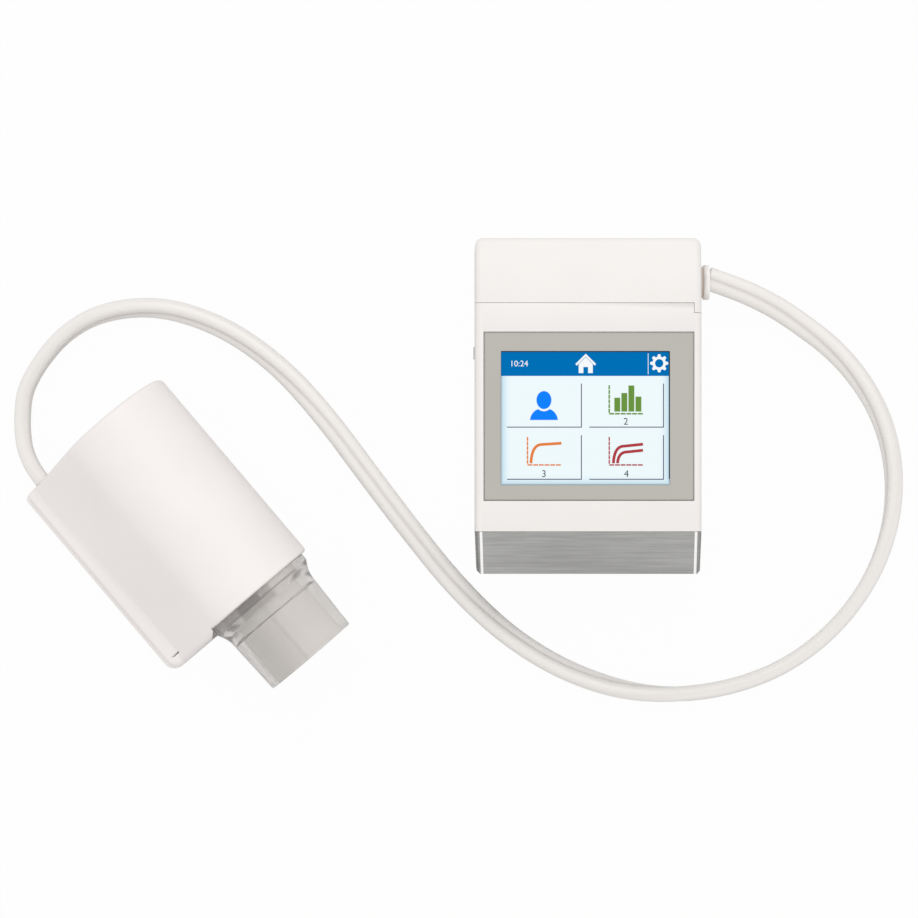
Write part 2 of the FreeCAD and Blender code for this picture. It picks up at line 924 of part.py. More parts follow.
def board_components():
    # Processor, wireless shield, display connector and charger parts on the main board
    body = new_body("board_components", "recorder")
    flat = sketch(body, height=board_top)
    for x, y, width, length in flat_chips:
        rectangle(flat, *centred(f"({x})", f"({width})"), *centred(f"({y})", f"({length})"))
    pad(body, flat, "chip_height")
    tall = sketch(body, height=board_top)
    for x, y, width, length in tall_chips:
        rectangle(tall, *centred(f"({x})", f"({width})"), *centred(f"({y})", f"({length})"))
    pad(body, tall, "shield_height")
    return body


def port_board():
    return plate_piece(
        "port_board",
        "recorder",
        "port_board_height",
        "board_thickness",
        "-port_board_left",
        "port_board_right",
        "port_board_low",
        "port_board_high",
    )


def port_centres():
    return ("socket_y - port_pitch/2", "socket_y + port_pitch/2")


def pressure_sensor():
    # Differential pressure sensor with two nipples that face the socket
    body = plate_piece(
        "pressure_sensor",
        "recorder",
        port_board_top,
        f"socket_z + 2*port_radius - {port_board_top}",
        f"{sensor_face} - sensor_width",
        sensor_face,
        *centred("socket_y", "sensor_length"),
    )
    nipples = sketch(body, "YZ_Plane", sensor_face)
    for y in port_centres():
        circle(nipples, y, "socket_z", "port_radius")
    pad(body, nipples, "sensor_gap - 2*seat_gap")
    bores = sketch(body, "YZ_Plane", f"{sensor_face} + sensor_gap")
    for y in port_centres():
        circle(bores, y, "socket_z", "port_bore")
    pocket(body, bores, "2*sensor_gap")
    return body


def sensor_tubes():
    # Two short soft tubes pushed over the nipples of the sensor and the socket
    body = new_body("sensor_tubes", "recorder")
    outline = sketch(body, "YZ_Plane", f"{sensor_face} + seat_gap")
    for y in port_centres():
        circle(outline, y, "socket_z", "port_radius + hose_gap + hose_wall")
        circle(outline, y, "socket_z", "port_radius + hose_gap")
    pad(body, outline, "sensor_gap + port_length - 2*seat_gap")
    return body


def tube_socket():
    # Panel connector in the right wall: a collar outside, two nipples inside
    body = new_body("tube_socket", "recorder")
    core = sketch(body, "YZ_Plane", socket_back)
    oblong(core, "socket_y", "socket_z", "socket_length", "socket_width")
    pad(body, core, "socket_depth")
    collar = sketch(body, "YZ_Plane", "case_width/2")
    oblong(collar, "socket_y", "socket_z", "collar_length", "collar_width")
    pad(body, collar, "collar_thickness")
    nipples = sketch(body, "YZ_Plane", f"{socket_back} - port_length + hose_gap")
    for y in port_centres():
        circle(nipples, y, "socket_z", "port_radius")
    pad(body, nipples, "port_length")
    holes = sketch(body, "YZ_Plane", socket_face)
    for y in port_centres():
        circle(holes, y, "socket_z", "spigot_radius + spigot_gap")
    pocket(body, holes, "spigot_length + spigot_gap")
    bores = sketch(body, "YZ_Plane", socket_face)
    for y in port_centres():
        circle(bores, y, "socket_z", "port_bore")
    pocket(body, bores, "socket_depth + port_length")
    return body


def tube_plug():
    # Flat plug moulded on the end of the twin tube, with two spigots in the socket
    body = new_body("tube_plug", "recorder")
    flange = sketch(body, "YZ_Plane", f"{socket_face} + seat_gap")
    oblong(flange, "socket_y", "socket_z", "plug_length", "plug_width")
    pad(body, flange, "plug_thickness")
    face, thick = measure(f"{socket_face} + seat_gap"), measure("plug_thickness")
    round_edges(
        body, "plug_thickness/4", lambda edge, box: near(box.XMin, face + thick)
    )
    spigots = sketch(body, "YZ_Plane", f"{socket_face} - spigot_length")
    for y in port_centres():
        circle(spigots, y, "socket_z", "spigot_radius")
    pad(body, spigots, "spigot_length + plug_thickness/2")
    bores = sketch(body, "YZ_Plane", f"{socket_face} - spigot_length")
    for y in port_centres():
        circle(bores, y, "socket_z", "port_bore")
    pocket(body, bores, "spigot_length", flip=True)
    return body


def usb_socket():
    # Power and data inlet: an open metal shell with a tongue, through the top end
    body = new_body("usb_socket", "recorder")
    low, high = port_board_top, f"({port_board_top} + inlet_height)"
    shell = sketch(body, "XZ_Plane", f"-({case_end} - seat_gap)")
    rectangle(shell, *centred("0", "inlet_width"), low, high)
    pad(body, shell, "inlet_depth")
    mouth = sketch(body, "XZ_Plane", f"-({case_end} - seat_gap)")
    rectangle(
        mouth,
        "inlet_shell - inlet_width/2",
        "inlet_width/2 - inlet_shell",
        f"{low} + inlet_shell",
        f"{high} - inlet_shell",
    )
    pocket(body, mouth, "inlet_depth - 2*inlet_shell", flip=True)
    tongue = sketch(body, "XZ_Plane", f"-({case_end} - inlet_depth + inlet_shell)")
    rectangle(
        tongue,
        "2*inlet_shell - inlet_width/2 + inlet_height/2",
        "inlet_width/2 - 2*inlet_shell - inlet_height/2",
        f"{low} + inlet_height/2 - inlet_shell",
        f"{low} + inlet_height/2 + inlet_shell",
    )
    pad(body, tongue, "inlet_depth - 4*inlet_shell", flip=True)
    return body


def buzzer():
    body = new_body("buzzer", "recorder")
    outline = sketch(body, height=port_board_top)
    x, y = "-port_board_left/2 - inlet_width/4", "(port_board_low + port_board_high)/2"
    circle(outline, x, y, "sounder_radius")
    pad(body, outline, "sounder_height")
    hole = sketch(body, height=f"{port_board_top} + sounder_height")
    circle(hole, x, y, "sounder_radius/5")
    pocket(body, hole, "sounder_height/2")
    return body


def power_button():
    # Key in the left wall, kept in by its inner flange
    body = new_body("power_button", "recorder")
    outer = "(-case_width/2 - button_proud)"
    key = sketch(body, "YZ_Plane", outer)
    rectangle(key, *centred("button_y", "button_length"), *centred("button_z", "button_width"))
    pad(body, key, "button_proud + case_wall + button_gap")
    face = measure(outer)
    round_edges(body, "button_proud/2", lambda edge, box: near(box.XMax, face))
    flange = sketch(body, "YZ_Plane", "case_wall + button_gap - case_width/2")
    rectangle(
        flange,
        *centred("button_y", "(button_length + 2*button_flange)"),
        *centred("button_z", "(button_width + 2*button_flange)"),
    )
    pad(body, flange, "button_flange_thickness")
    return body


switch_face = (
    "(case_wall + 2*button_gap + button_flange_thickness + button_travel - case_width/2)"
)


def power_switch():
    return plate_piece(
        "power_switch",
        "recorder",
        board_top,
        f"button_z + button_width/2 - {board_top}",
        switch_face,
        f"{switch_face} + switch_depth",
        *centred("button_y", "button_length"),
    )


def cell_columns():
    count = int(measure("cell_count"))
    return [f"({column} - (cell_count - 1)/2)*cell_pitch" for column in range(count)]


def battery_cells():
    # Four round cells side by side, every other one turned end for end
    body = new_body("battery_cells", "recorder")
    # Along Y the outline's normal points to -Y, so its height is minus y
    cans = sketch(body, "XZ_Plane", f"-({cells_start} + cell_length)")
    for x in cell_columns():
        circle(cans, x, cell_axis, "cell_diameter/2")
    pad(body, cans, "cell_length")
    far_nubs = sketch(body, "XZ_Plane", f"-({cells_start} + cell_length + cell_nub)")
    for x in cell_columns()[::2]:
        circle(far_nubs, x, cell_axis, "cell_nub_radius")
    pad(body, far_nubs, "2*cell_nub")
    near_nubs = sketch(body, "XZ_Plane", f"-{cells_start}")
    for x in cell_columns()[1::2]:
        circle(near_nubs, x, cell_axis, "cell_nub_radius")
    pad(body, near_nubs, "cell_nub")
    return body


def battery_contacts():
    # Contact plates at both ends of the bay, with a low spring for each flat cell end
    body = new_body("battery_contacts", "recorder")
    ends = (
        (f"-({inner_y} + contact_thickness)", False),
        (f"-({inner_y} + {bay_length})", False),
    )
    for height, flip in ends:
        plates = sketch(body, "XZ_Plane", height)
        for x in cell_columns():
            rectangle(
                plates,
                *centred(x, "(cell_pitch - 4*cell_gap)"),
                *centred(cell_axis, "(cell_diameter - 4*cell_gap)"),
            )
        pad(body, plates, "contact_thickness", flip=flip)
    springs = sketch(body, "XZ_Plane", f"-({inner_y} + contact_thickness + contact_spring)")
    for x in cell_columns()[::2]:
        circle(springs, x, cell_axis, "cell_diameter/4")
        circle(springs, x, cell_axis, "cell_diameter/4 - contact_thickness")
    pad(body, springs, "contact_spring")
    return body


def battery_door():
    # Door over the bay, held by four ledges of the case: it slides down until its notches
    # clear them and then comes off
    body = plate_piece(
        "battery_door",
        "recorder",
        "foot_height",
        "door_thickness",
        *centred("0", "door_width"),
        f"-{case_end}",
        f"door_length - {case_end}",
    )
    for sliding, depth in (("0", "ledge_thickness + seat_gap"), ("door_travel", "door_depth")):
        notch = sketch(body, height="foot_height")
        for side in ("-", ""):
            for y in ledge_starts:
                rectangle(
                    notch,
                    f"{side}(door_width/2 - ledge_width)",
                    f"{side}(door_width/2 + seat_gap)",
                    f"{y} + {sliding} - seat_gap",
                    f"{y} + ledge_length + door_travel + seat_gap",
                )
        pocket(body, notch, depth, flip=True)
    grip = sketch(body, height="foot_height")
    for row in range(int(measure("grip_rows"))):
        y = f"(grip_start + {row}*grip_pitch - {case_end})"
        rectangle(grip, *centred("0", "grip_width"), y, f"{y} + grip_pitch/2")
    pocket(body, grip, "door_groove", flip=True)
    return body


def case_screws():
    body = new_body("case_screws", "recorder")
    under = "(foot_height + seat_gap)"
    add_posts(body, posts, under, f"({under} + screw_head_height)", "screw_head_radius")
    slots = sketch(body, height=under)
    slot_length = "(2*(screw_head_radius - screw_slot))"
    for x, y in posts:
        rectangle(slots, *centred(x, slot_length), *centred(y, "screw_slot"))
    pocket(body, slots, "screw_head_height/2", flip=True)
    middle = f"({under} + screw_head_height/2)"
    add_posts(body, posts, middle, board_top, "screw_radius")
    thread = "pilot_radius - hose_gap"
    add_posts(body, posts, middle, f"({board_top} + screw_reach)", thread)
    return body


def rubber_feet():
    body = new_body("rubber_feet", "recorder")
    outline = sketch(body)
    for x, y in foot_places:
        circle(outline, x, y, "foot_radius")
    pad(body, outline, "foot_height + foot_recess")
    round_edges(
        body,
        "foot_height/3",
        lambda edge, box: box.ZMax < tolerance and box.XLength > tolerance,
    )
    return body


def head_screw_places():
    return [
        ("near_screw_x", "-near_screw_reach"),
        ("far_screw_x", "-far_screw_reach"),
    ]


def hollow_out(body):
    # Room for the sleeve in the barrel and for the hoses in the wing, the two sockets, and
    # the seat of the guard's flange
    bore = sketch(body, "YZ_Plane", "start_socket")
    circle(bore, "0", "barrel_radius", "barrel_bore")
    pocket(body, bore, f"{shoulder_far} - start_socket", flip=True)
    wing = sketch(body, "YZ_Plane", "start_wall")
    inner = "(brim_reach - shell_wall)"
    drop = "(shell_wall/cos(wing_slope))"
    corners = [
        (f"-{inner}", "shell_wall"),
        ("-web_reach", "shell_wall"),
        ("-web_reach", f"{slope_height('web_reach')} - {drop}"),
        ("-(crease_reach - shell_wall/4)", f"{crease_height} - 4/3*shell_wall"),
        (f"-{inner}", f"{brim_height} + shell_wall/3 - shell_wall"),
    ]
    polygon(wing, corners)
    pocket(body, wing, "head_length - start_wall - far_wall", flip=True)
    ends = sketch(body, "YZ_Plane")
    circle(ends, "0", "barrel_radius", "socket_bore")
    pocket(body, ends, "head_length", flip=True)
    seat = sketch(body, "YZ_Plane")
    circle(seat, "0", "barrel_radius", "guard_radius + spigot_clear")
    pocket(body, seat, "guard_flange + adapter_gap", flip=True)
    face = sketch(body, "YZ_Plane", barrel_end)
    circle(face, "0", "barrel_radius", "barrel_radius + seam_gap")
    pocket(body, face, "2*barrel_setback", flip=True)
    entry = sketch(body, "YZ_Plane")
    circle(entry, "-grommet_reach", "grommet_height", "grommet_radius + grommet_gap")
    pocket(body, entry, "2*start_wall", flip=True)


def barrel_rim(edge, box):
    # The outer edge of the barrel's end face, which lies behind the end of the wing
    outside = near(box.ZMax, 2*measure("barrel_radius"))
    return outside and near(box.XMin, measure(barrel_end)) and near(box.XMax, measure(barrel_end))


def flowhead_cover():
    # Upper shell: a barrel over the flow axis and a sloping wing over the tube entry
    body = new_body("flowhead_cover", "head")
    section = sketch(body, "YZ_Plane")
    tangent_y = "(-barrel_radius*sin(wing_slope))"
    tangent_z = "(barrel_radius + barrel_radius*cos(wing_slope))"
    corners = [
        ("-brim_reach", "shell_split"),
        (split_y, "shell_split"),
        (tangent_y, tangent_z),
        ("-crease_reach", crease_height),
        ("-brim_reach", brim_height),
    ]
    polygon(section, corners, arcs={1: ("0", True)})
    pad(body, section, "head_length")
    length, reach, low = measure("head_length"), measure("brim_reach"), measure("shell_split")

    def far_corner(edge, box):
        return near(box.XMin, length) and near(box.YMax, -reach)

    round_edges(body, "corner_round", far_corner)

    def far_rim(edge, box):
        at_end = box.XMin > length - measure("corner_round") - tolerance
        return at_end and box.ZMax > low + tolerance and box.YLength > tolerance

    round_edges(body, "far_round", far_rim)

    def start_rim(edge, box):
        return near(box.XMax, 0) and box.ZMax > low + tolerance

    round_edges(body, "start_round", start_rim)
    hollow_out(body)
    round_edges(body, "barrel_round", barrel_rim)
    places = head_screw_places()
    outline = sketch(body, height="shell_split")
    for x, y in places:
        circle(outline, x, y, "cover_boss_radius")
    boss = pad(body, outline, "shell_split")
    boss.Type = "UpToFirst"
    doc.recompute()
    drill(body, places, "shell_split", "head_screw_top + seat_gap", "head_screw_radius + seat_gap")
    holes = sketch(body, "XZ_Plane", "barrel_bore - shell_wall/2")
    for x in ("take_off_start", "take_off_end"):
        circle(holes, x, "barrel_radius", "hose_radius + seat_gap")
    pocket(body, holes, "web_reach - barrel_bore + shell_wall", flip=True)
    latch = sketch(body, height=f"({crease_height} + shell_wall)")
    rectangle(
        latch,
        *centred("latch_x", "latch_width"),
        *centred("-latch_reach", "latch_length"),
    )
    pocket(body, latch, "3*shell_wall")
    return body


def flowhead_base():
    # Lower shell: a flat tray whose left edge stands out from under the cover
    body = new_body("flowhead_base", "head")
    section = sketch(body, "YZ_Plane")
    corners = [
        ("-base_reach", "0"),
        ("0", "0"),
        (split_y, "shell_split"),
        ("-base_reach", "shell_split"),
    ]
    polygon(section, corners, arcs={1: ("0", True)})
    pad(body, section, "head_length")
    length, reach, split = measure("head_length"), measure("base_reach"), measure("shell_split")

    def start_rim(edge, box):
        return near(box.XMax, 0) and box.ZMin < split - tolerance

    round_edges(body, "start_round", start_rim)

    def far_corner(edge, box):
        return near(box.YMax, -reach) and near(box.XMin, length)

    round_edges(body, "corner_round", far_corner)

    def left_rim(edge, box):
        return near(box.ZMin, split) and box.YMax < -measure("crease_reach")

    round_edges(body, "base_round", left_rim)
    hollow_out(body)
    places = head_screw_places()
    add_posts(body, places, "(shell_wall/2)", "shell_split", "head_boss_radius")
    drill(body, places, "0", "shell_split", "head_screw_radius + seat_gap")
    drill(
        body,
        places,
        "0",
        "head_screw_sunk + shell_wall",
        "head_screw_head + seat_gap",
    )
    return body


def flowhead_screws():
    body = new_body("flowhead_screws", "head")
    places = head_screw_places()
    add_posts(body, places, "head_screw_sunk", "(head_screw_sunk + shell_wall)", "head_screw_head")
    add_posts(body, places, "(shell_wall/2)", "head_screw_top", "head_screw_radius")
    slots = sketch(body, height="head_screw_sunk")
    slot_length = "(2*(head_screw_head - screw_slot))"
    for x, y in places:
        rectangle(slots, *centred(x, slot_length), *centred(y, "screw_slot"))
    pocket(body, slots, "shell_wall/3", flip=True)
    return body


sleeve_start = "(start_socket + sleeve_gap)"
sleeve_end = f"({shoulder_far} - sleeve_gap)"
sleeve_rim = "(barrel_bore - sleeve_clear)"


def element_sleeve():
    # Tube that holds the element, with a grooved flange at each end and two take-offs
    body = new_body("element_sleeve", "barrel")
    profile = sketch(body)
    groove_floor = f"({sleeve_rim} - groove_depth)"
    groove_in = "(sleeve_flange/2 - groove_width/2)"
    groove_out = "(sleeve_flange/2 + groove_width/2)"
    corners = [
        (sleeve_start, "sleeve_bore"),
        (sleeve_end, "sleeve_bore"),
        (sleeve_end, sleeve_rim),
        (f"{sleeve_end} - {groove_in}", sleeve_rim),
        (f"{sleeve_end} - {groove_in}", groove_floor),
        (f"{sleeve_end} - {groove_out}", groove_floor),
        (f"{sleeve_end} - {groove_out}", sleeve_rim),
        (f"{sleeve_end} - sleeve_flange", sleeve_rim),
        (f"{sleeve_end} - sleeve_flange", "sleeve_radius"),
        (f"{sleeve_start} + sleeve_flange", "sleeve_radius"),
        (f"{sleeve_start} + sleeve_flange", sleeve_rim),
        (f"{sleeve_start} + {groove_out}", sleeve_rim),
        (f"{sleeve_start} + {groove_out}", groove_floor),
        (f"{sleeve_start} + {groove_in}", groove_floor),
        (f"{sleeve_start} + {groove_in}", sleeve_rim),
        (sleeve_start, sleeve_rim),
    ]
    polygon(profile, corners)
    revolve(body, profile)
    nipples = sketch(body, "XZ_Plane", "(sleeve_bore + sleeve_radius)/2")
    for x in ("take_off_start", "take_off_end"):
        circle(nipples, x, "0", "take_off_radius")
    pad(body, nipples, "take_off_reach - (sleeve_bore + sleeve_radius)/2")
    bores = sketch(body, "XZ_Plane", "take_off_reach")
    for x in ("take_off_start", "take_off_end"):
        circle(bores, x, "0", "port_bore")
    pocket(body, bores, "take_off_reach - sleeve_bore + sleeve_clear")
    return body


def seal_piece(label, places, ring_radius):
    # Round-section sealing rings about the flow axis
    body = new_body(label, "barrel")
    profile = sketch(body)
    for x in places:
        circle(profile, x, ring_radius, "seal_radius")
    revolve(body, profile)
    return body


def sleeve_seals():
    return seal_piece(
        "sleeve_seals",
        [f"{sleeve_start} + sleeve_flange/2", f"{sleeve_end} - sleeve_flange/2"],
        "barrel_bore - seal_radius - seat_gap",
    )


def layer_radii():
    # Inner radius of each layer of channels that fits between the hub and the rim
    radii = []
    radius = measure("element_hub")
    while radius + measure("layer_pitch") <= measure("sleeve_bore - element_gap"):
        radii.append(radius)
        radius += measure("layer_pitch")
    return radii


def fleisch_element():
    # Bundle of fine straight channels: layers of corrugated foil round a hub, which turn
    # the flow laminar. A layer holds triangles that point outwards and inwards by turns
    body = new_body("fleisch_element", "barrel")
    outline = sketch(body, "YZ_Plane", "element_start")
    circle(outline, "0", "0", "sleeve_bore - element_gap")
    pad(body, outline, "element_length")
    for layer, radius in enumerate(layer_radii()):
        low = f"(element_hub + {layer}*layer_pitch + layer_foil/2)"
        high = f"(element_hub + {layer + 1}*layer_pitch - layer_foil/2)"
        middle = radius + measure("layer_pitch") / 2
        count = int(2 * math.pi * middle / measure("channel_pitch"))
        turn = f"({180 / count})"
        cut = sketch(body, "YZ_Plane", element_end)
        polygon(cut, [("-channel_base/2", low), ("channel_base/2", low), ("0", high)])
        leaning = [("-channel_base/2", high), ("0", low), ("channel_base/2", high)]
        turned = [
            (f"({x})*cos({turn}) + ({y})*sin({turn})", f"({y})*cos({turn}) - ({x})*sin({turn})")
            for x, y in leaning
        ]
        polygon(cut, turned)
        ring_of_cuts(body, cut, "element_length", count)
    return body


def spacer_rings():
    # Rings that keep the screens off both ends of the element
    body = new_body("spacer_rings", "barrel")
    profile = sketch(body)
    inner, outer = "(sleeve_bore - spacer_wall)", "(sleeve_bore - element_gap)"
    for start in ("(element_start - element_gap - spacer_length)", f"({element_end} + element_gap)"):
        rectangle(profile, start, f"{start} + spacer_length", inner, outer)
    revolve(body, profile)
    return body


def screen(label, start):
    # Perforated disc: square holes in three rings round a middle hole
    body = new_body(label, "barrel")
    outline = sketch(body, "YZ_Plane", start)
    circle(outline, "0", "0", "sleeve_bore - element_gap")
    pad(body, outline, "screen_thickness")
    middle = sketch(body, "YZ_Plane", f"{start} + screen_thickness")
    rectangle(middle, *centred("0", "screen_hole"), *centred("0", "screen_hole"))
    pocket(body, middle, "screen_thickness")
    for ring in (1, 2, 3):
        cut = sketch(body, "YZ_Plane", f"{start} + screen_thickness")
        rectangle(
            cut, *centred("0", "screen_hole"), *centred(f"({ring}*screen_pitch)", "screen_hole")
        )
        ring_of_cuts(body, cut, "screen_thickness", 6 * ring)
    return body


def inlet_screen():
    return screen("inlet_screen", f"({element_end} + 2*element_gap + spacer_length)")


def outlet_screen():
    return screen(
        "outlet_screen", "(element_start - 2*element_gap - spacer_length - screen_thickness)"
    )


adapter_face = f"({barrel_end} + adapter_gap)"
adapter_mouth = f"({barrel_end} + adapter_reach)"
spigot_radius_out = "(socket_bore - spigot_clear)"
adapter_seal_x = f"({adapter_face} - spigot_depth/2)"


def mouthpiece_adapter():
    # Clear cone that plugs into the barrel and takes a mouthpiece in its open end
    body = new_body("mouthpiece_adapter", "barrel")
    flare_start = f"({adapter_face} + flange_length)"
    waist = f"({flare_start} + flare_length)"
    shoulder = f"({adapter_mouth} - mouth_depth)"
    groove_floor = f"({spigot_radius_out} - adapter_groove)"
    corners = [
        (f"{adapter_face} - spigot_depth", "chamber_radius"),
        (flare_start, "chamber_radius"),
        (f"{shoulder} - throat_length", "throat_radius"),
        (shoulder, "throat_radius"),
        (shoulder, "mouth_bore"),
        (adapter_mouth, "mouth_bore"),
        (adapter_mouth, "mouth_radius"),
        (waist, "waist_radius"),
        (flare_start, "flange_radius"),
        (adapter_face, "flange_radius"),
        (adapter_face, spigot_radius_out),
        (f"{adapter_seal_x} + groove_width/2", spigot_radius_out),
        (f"{adapter_seal_x} + groove_width/2", groove_floor),
        (f"{adapter_seal_x} - groove_width/2", groove_floor),
        (f"{adapter_seal_x} - groove_width/2", spigot_radius_out),
        (f"{adapter_face} - spigot_depth", spigot_radius_out),
    ]
    profile = sketch(body)
    polygon(profile, corners, arcs={7: (waist, False)})
    revolve(body, profile)
    return body


def adapter_seal():
    return seal_piece("adapter_seal", [adapter_seal_x], f"{spigot_radius_out} - seal_radius")


def exhaust_guard():
    # Slotted guard that plugs into the exhaust end of the barrel, flush with its face
    body = new_body("exhaust_guard", "barrel")
    rim = "(socket_bore - spigot_clear)"
    corners = [
        ("0", "0"),
        ("guard_plate", "0"),
        ("guard_plate", f"{rim} - guard_wall"),
        ("guard_depth", f"{rim} - guard_wall"),
        ("guard_depth", rim),
        ("guard_flange", rim),
        ("guard_flange", "guard_radius"),
        ("0", "guard_radius"),
    ]
    profile = sketch(body)
    polygon(profile, corners)
    revolve(body, profile)
    for row in ("outer_slot", "inner_slot"):
        cut = sketch(body, "YZ_Plane", "guard_plate")
        rectangle(cut, *centred("0", f"{row}_width"), f"{row}_low", f"{row}_high")
        ring_of_cuts(body, cut, "guard_plate", int(measure(f"{row}s")))
    return body


def tube_grommet():
    # Soft bush in the start wall, where the twin tube's two bores go over to the hoses
    body = new_body("tube_grommet", "grommet")
    outline = sketch(body, "YZ_Plane")
    circle(outline, "0", "0", "grommet_radius")
    for side in ("-", ""):
        circle(outline, f"{side}twin_pitch/2", "0", "port_bore")
    pad(body, outline, "grommet_length")
    return body


def swept_tube(points, bends, section):
    # Straight runs joined by tangent arcs, one bend radius for each inner point
    edges = []
    start = points[0]
    for before, corner, after, bend in zip(points, points[1:], points[2:], bends):
        back, ahead = (before - corner).normalize(), (after - corner).normalize()
        turn = math.pi - back.getAngle(ahead)
        cut = bend * math.tan(turn / 2)
        inward = (back + ahead).normalize() * (bend / math.cos(turn / 2) - bend)
        enter, leave = corner + back * cut, corner + ahead * cut
        edges.append(Part.LineSegment(start, enter).toShape())
        edges.append(Part.Arc(enter, corner + inward, leave).toShape())
        start = leave
    edges.append(Part.LineSegment(start, points[-1]).toShape())
    path = Part.Wire(edges)
    heading = points[1] - points[0]
    rings = [Part.Wire(Part.makeCircle(radius, points[0], heading)) for radius in section]
    solids = [path.makePipeShell([ring], True, True) for ring in rings]
    solid = solids[0] if len(solids) == 1 else solids[0].cut(solids[1])
    area = math.pi * (section[0] ** 2 - sum(radius**2 for radius in section[1:]))
    return solid, path.Length, area


def free_piece(label, shape, frame=None):
    piece = doc.addObject("Part::Feature", label)
    piece.Label = label
    piece.Shape = shape
    if frame:
        piece.Placement = frames[frame]
    pieces.append(piece)
    return piece


def port_hoses():
    # Two soft hoses from the grommet, along the floor of the wing and up to the take-offs
    low, high = measure("grommet_height"), measure("barrel_radius")
    start = measure("grommet_length")
    riser, stop = -measure("riser_reach"), -measure("take_off_reach")
    solids = []
    for side, target in ((0.5, "take_off_start"), (-0.5, "take_off_end")):
        y = side * measure("twin_pitch") - measure("grommet_reach")
        x = measure(target)
        points = [
            Vector(start, y, low),
            Vector(x, y, low),
            Vector(x, riser, low),
            Vector(x, riser, high),
            Vector(x, stop, high),
        ]
        bends = [measure("hose_bend")] * 3
        section = [measure("hose_radius"), measure("port_bore")]
        solids.append(swept_tube(points, bends, section)[0])
    return free_piece("port_hoses", Part.makeCompound(solids), "head")


def twin_tube():
    # Free tube between the plug and the grommet; each bend is as large as its runs allow
    face = measure(f"{socket_face} + seat_gap + plug_thickness")
    lead = measure("tube_lead")
    plug_end = [Vector(x, measure("socket_y"), measure("socket_z")) for x in (face, face + lead)]
    head_end = [Vector(-lead, 0, 0), Vector()]
    points = [
        *map(frames["recorder"].multVec, plug_end),
        *tube_route,
        *map(frames["grommet"].multVec, head_end),
    ]
    bends = []
    for before, corner, after in zip(points, points[1:], points[2:]):
        run = min((corner - before).Length, (after - corner).Length)
        turn = math.pi - (before - corner).getAngle(after - corner)
        bends.append(measure("bend_share") * run / math.tan(turn / 2))
    solid, length, area = swept_tube(points, bends, [measure("tube_diameter") / 2])
    print("tube bend radii", [round(bend) for bend in bends])
    share = solid.Volume / (area * length)
    print(f"tube length {length:.1f} mm, volume over section times length {share:.4f}")
    return free_piece("twin_tube", solid)


makers = (
    rear_case,
    front_case,
    base_trim,
    touch_panel,
    display_module,
    display_frame,
    main_board,
    board_components,
    port_board,
    pressure_sensor,
    sensor_tubes,
    tube_socket,
    tube_plug,
    usb_socket,
    buzzer,
    power_button,
    power_switch,
    battery_cells,
    battery_contacts,
    battery_door,
    case_screws,
    rubber_feet,
    flowhead_cover,
    flowhead_base,
    flowhead_screws,
    element_sleeve,
    sleeve_seals,
    fleisch_element,
    spacer_rings,
    inlet_screen,
    outlet_screen,
    mouthpiece_adapter,
    adapter_seal,
    exhaust_guard,
    tube_grommet,
    port_hoses,
    twin_tube,
)
for maker in makers:
    maker()
doc.recompute()

for thing in doc.Objects:
    if "Invalid" in thing.State or "Error" in thing.State:
        raise ValueError(f"{thing.Name} did not compute: {thing.State}")
for piece in pieces:
    if piece.Shape.isNull() or not piece.Shape.isValid():
        raise ValueError(f"{piece.Label} has no valid shape")

os.makedirs("parts", exist_ok=True)
for piece in pieces:
    piece.Shape.exportStep(f"parts/{piece.Label}.step")
    print(f"{piece.Label}: {len(piece.Shape.Solids)} solids, {piece.Shape.Volume:.1f} mm3")
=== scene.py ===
import json
import math

import bmesh
import bpy
import numpy as np
from mathutils import Matrix, Vector


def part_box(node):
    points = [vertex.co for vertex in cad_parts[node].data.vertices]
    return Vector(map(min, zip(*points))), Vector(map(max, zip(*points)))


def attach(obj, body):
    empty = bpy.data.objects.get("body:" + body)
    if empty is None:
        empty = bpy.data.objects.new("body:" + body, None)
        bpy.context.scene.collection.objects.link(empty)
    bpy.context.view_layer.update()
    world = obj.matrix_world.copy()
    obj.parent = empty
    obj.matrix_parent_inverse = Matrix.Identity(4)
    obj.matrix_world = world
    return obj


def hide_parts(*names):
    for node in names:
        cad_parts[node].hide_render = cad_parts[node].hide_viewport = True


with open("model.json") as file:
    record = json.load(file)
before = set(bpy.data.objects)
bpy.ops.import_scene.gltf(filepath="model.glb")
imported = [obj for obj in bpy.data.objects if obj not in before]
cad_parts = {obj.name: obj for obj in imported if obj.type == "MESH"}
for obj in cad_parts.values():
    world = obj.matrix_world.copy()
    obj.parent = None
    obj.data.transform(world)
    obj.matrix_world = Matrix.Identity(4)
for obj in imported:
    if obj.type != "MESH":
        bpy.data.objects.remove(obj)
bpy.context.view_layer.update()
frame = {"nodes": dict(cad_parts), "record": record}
cadNodes = frame["nodes"]
millimetre = 0.001
print("frame loaded")


# camera: straight above, with the recorder's top end away from the viewer
view = {"x": 0.0357, "y": 0.00145, "height": 0.900, "frameWidth": 0.3438, "sensor": 36.0}
cameraData = bpy.data.cameras.new("tableCamera")
cameraData.sensor_width = view["sensor"]
cameraData.lens = view["sensor"] * view["height"] / view["frameWidth"]
cameraData.dof.use_dof = False
camera = bpy.data.objects.new("tableCamera", cameraData)
camera.location = (view["x"], view["y"], view["height"])
bpy.context.scene.collection.objects.link(camera)
bpy.context.scene.camera = camera
print("camera placed")


def meshPiece(name, points, faces, material=None, smooth=True):
    # One object from vertex rows and face index rows, its place in its mesh
    mesh = bpy.data.meshes.new(name)
    mesh.from_pydata(np.asarray(points, float).tolist(), [], [list(f) for f in faces])
    mesh.validate()
    mesh.shade_smooth() if smooth else mesh.shade_flat()
    piece = bpy.data.objects.new(name, mesh)
    bpy.context.scene.collection.objects.link(piece)
    if material:
        mesh.materials.append(material)
    return piece


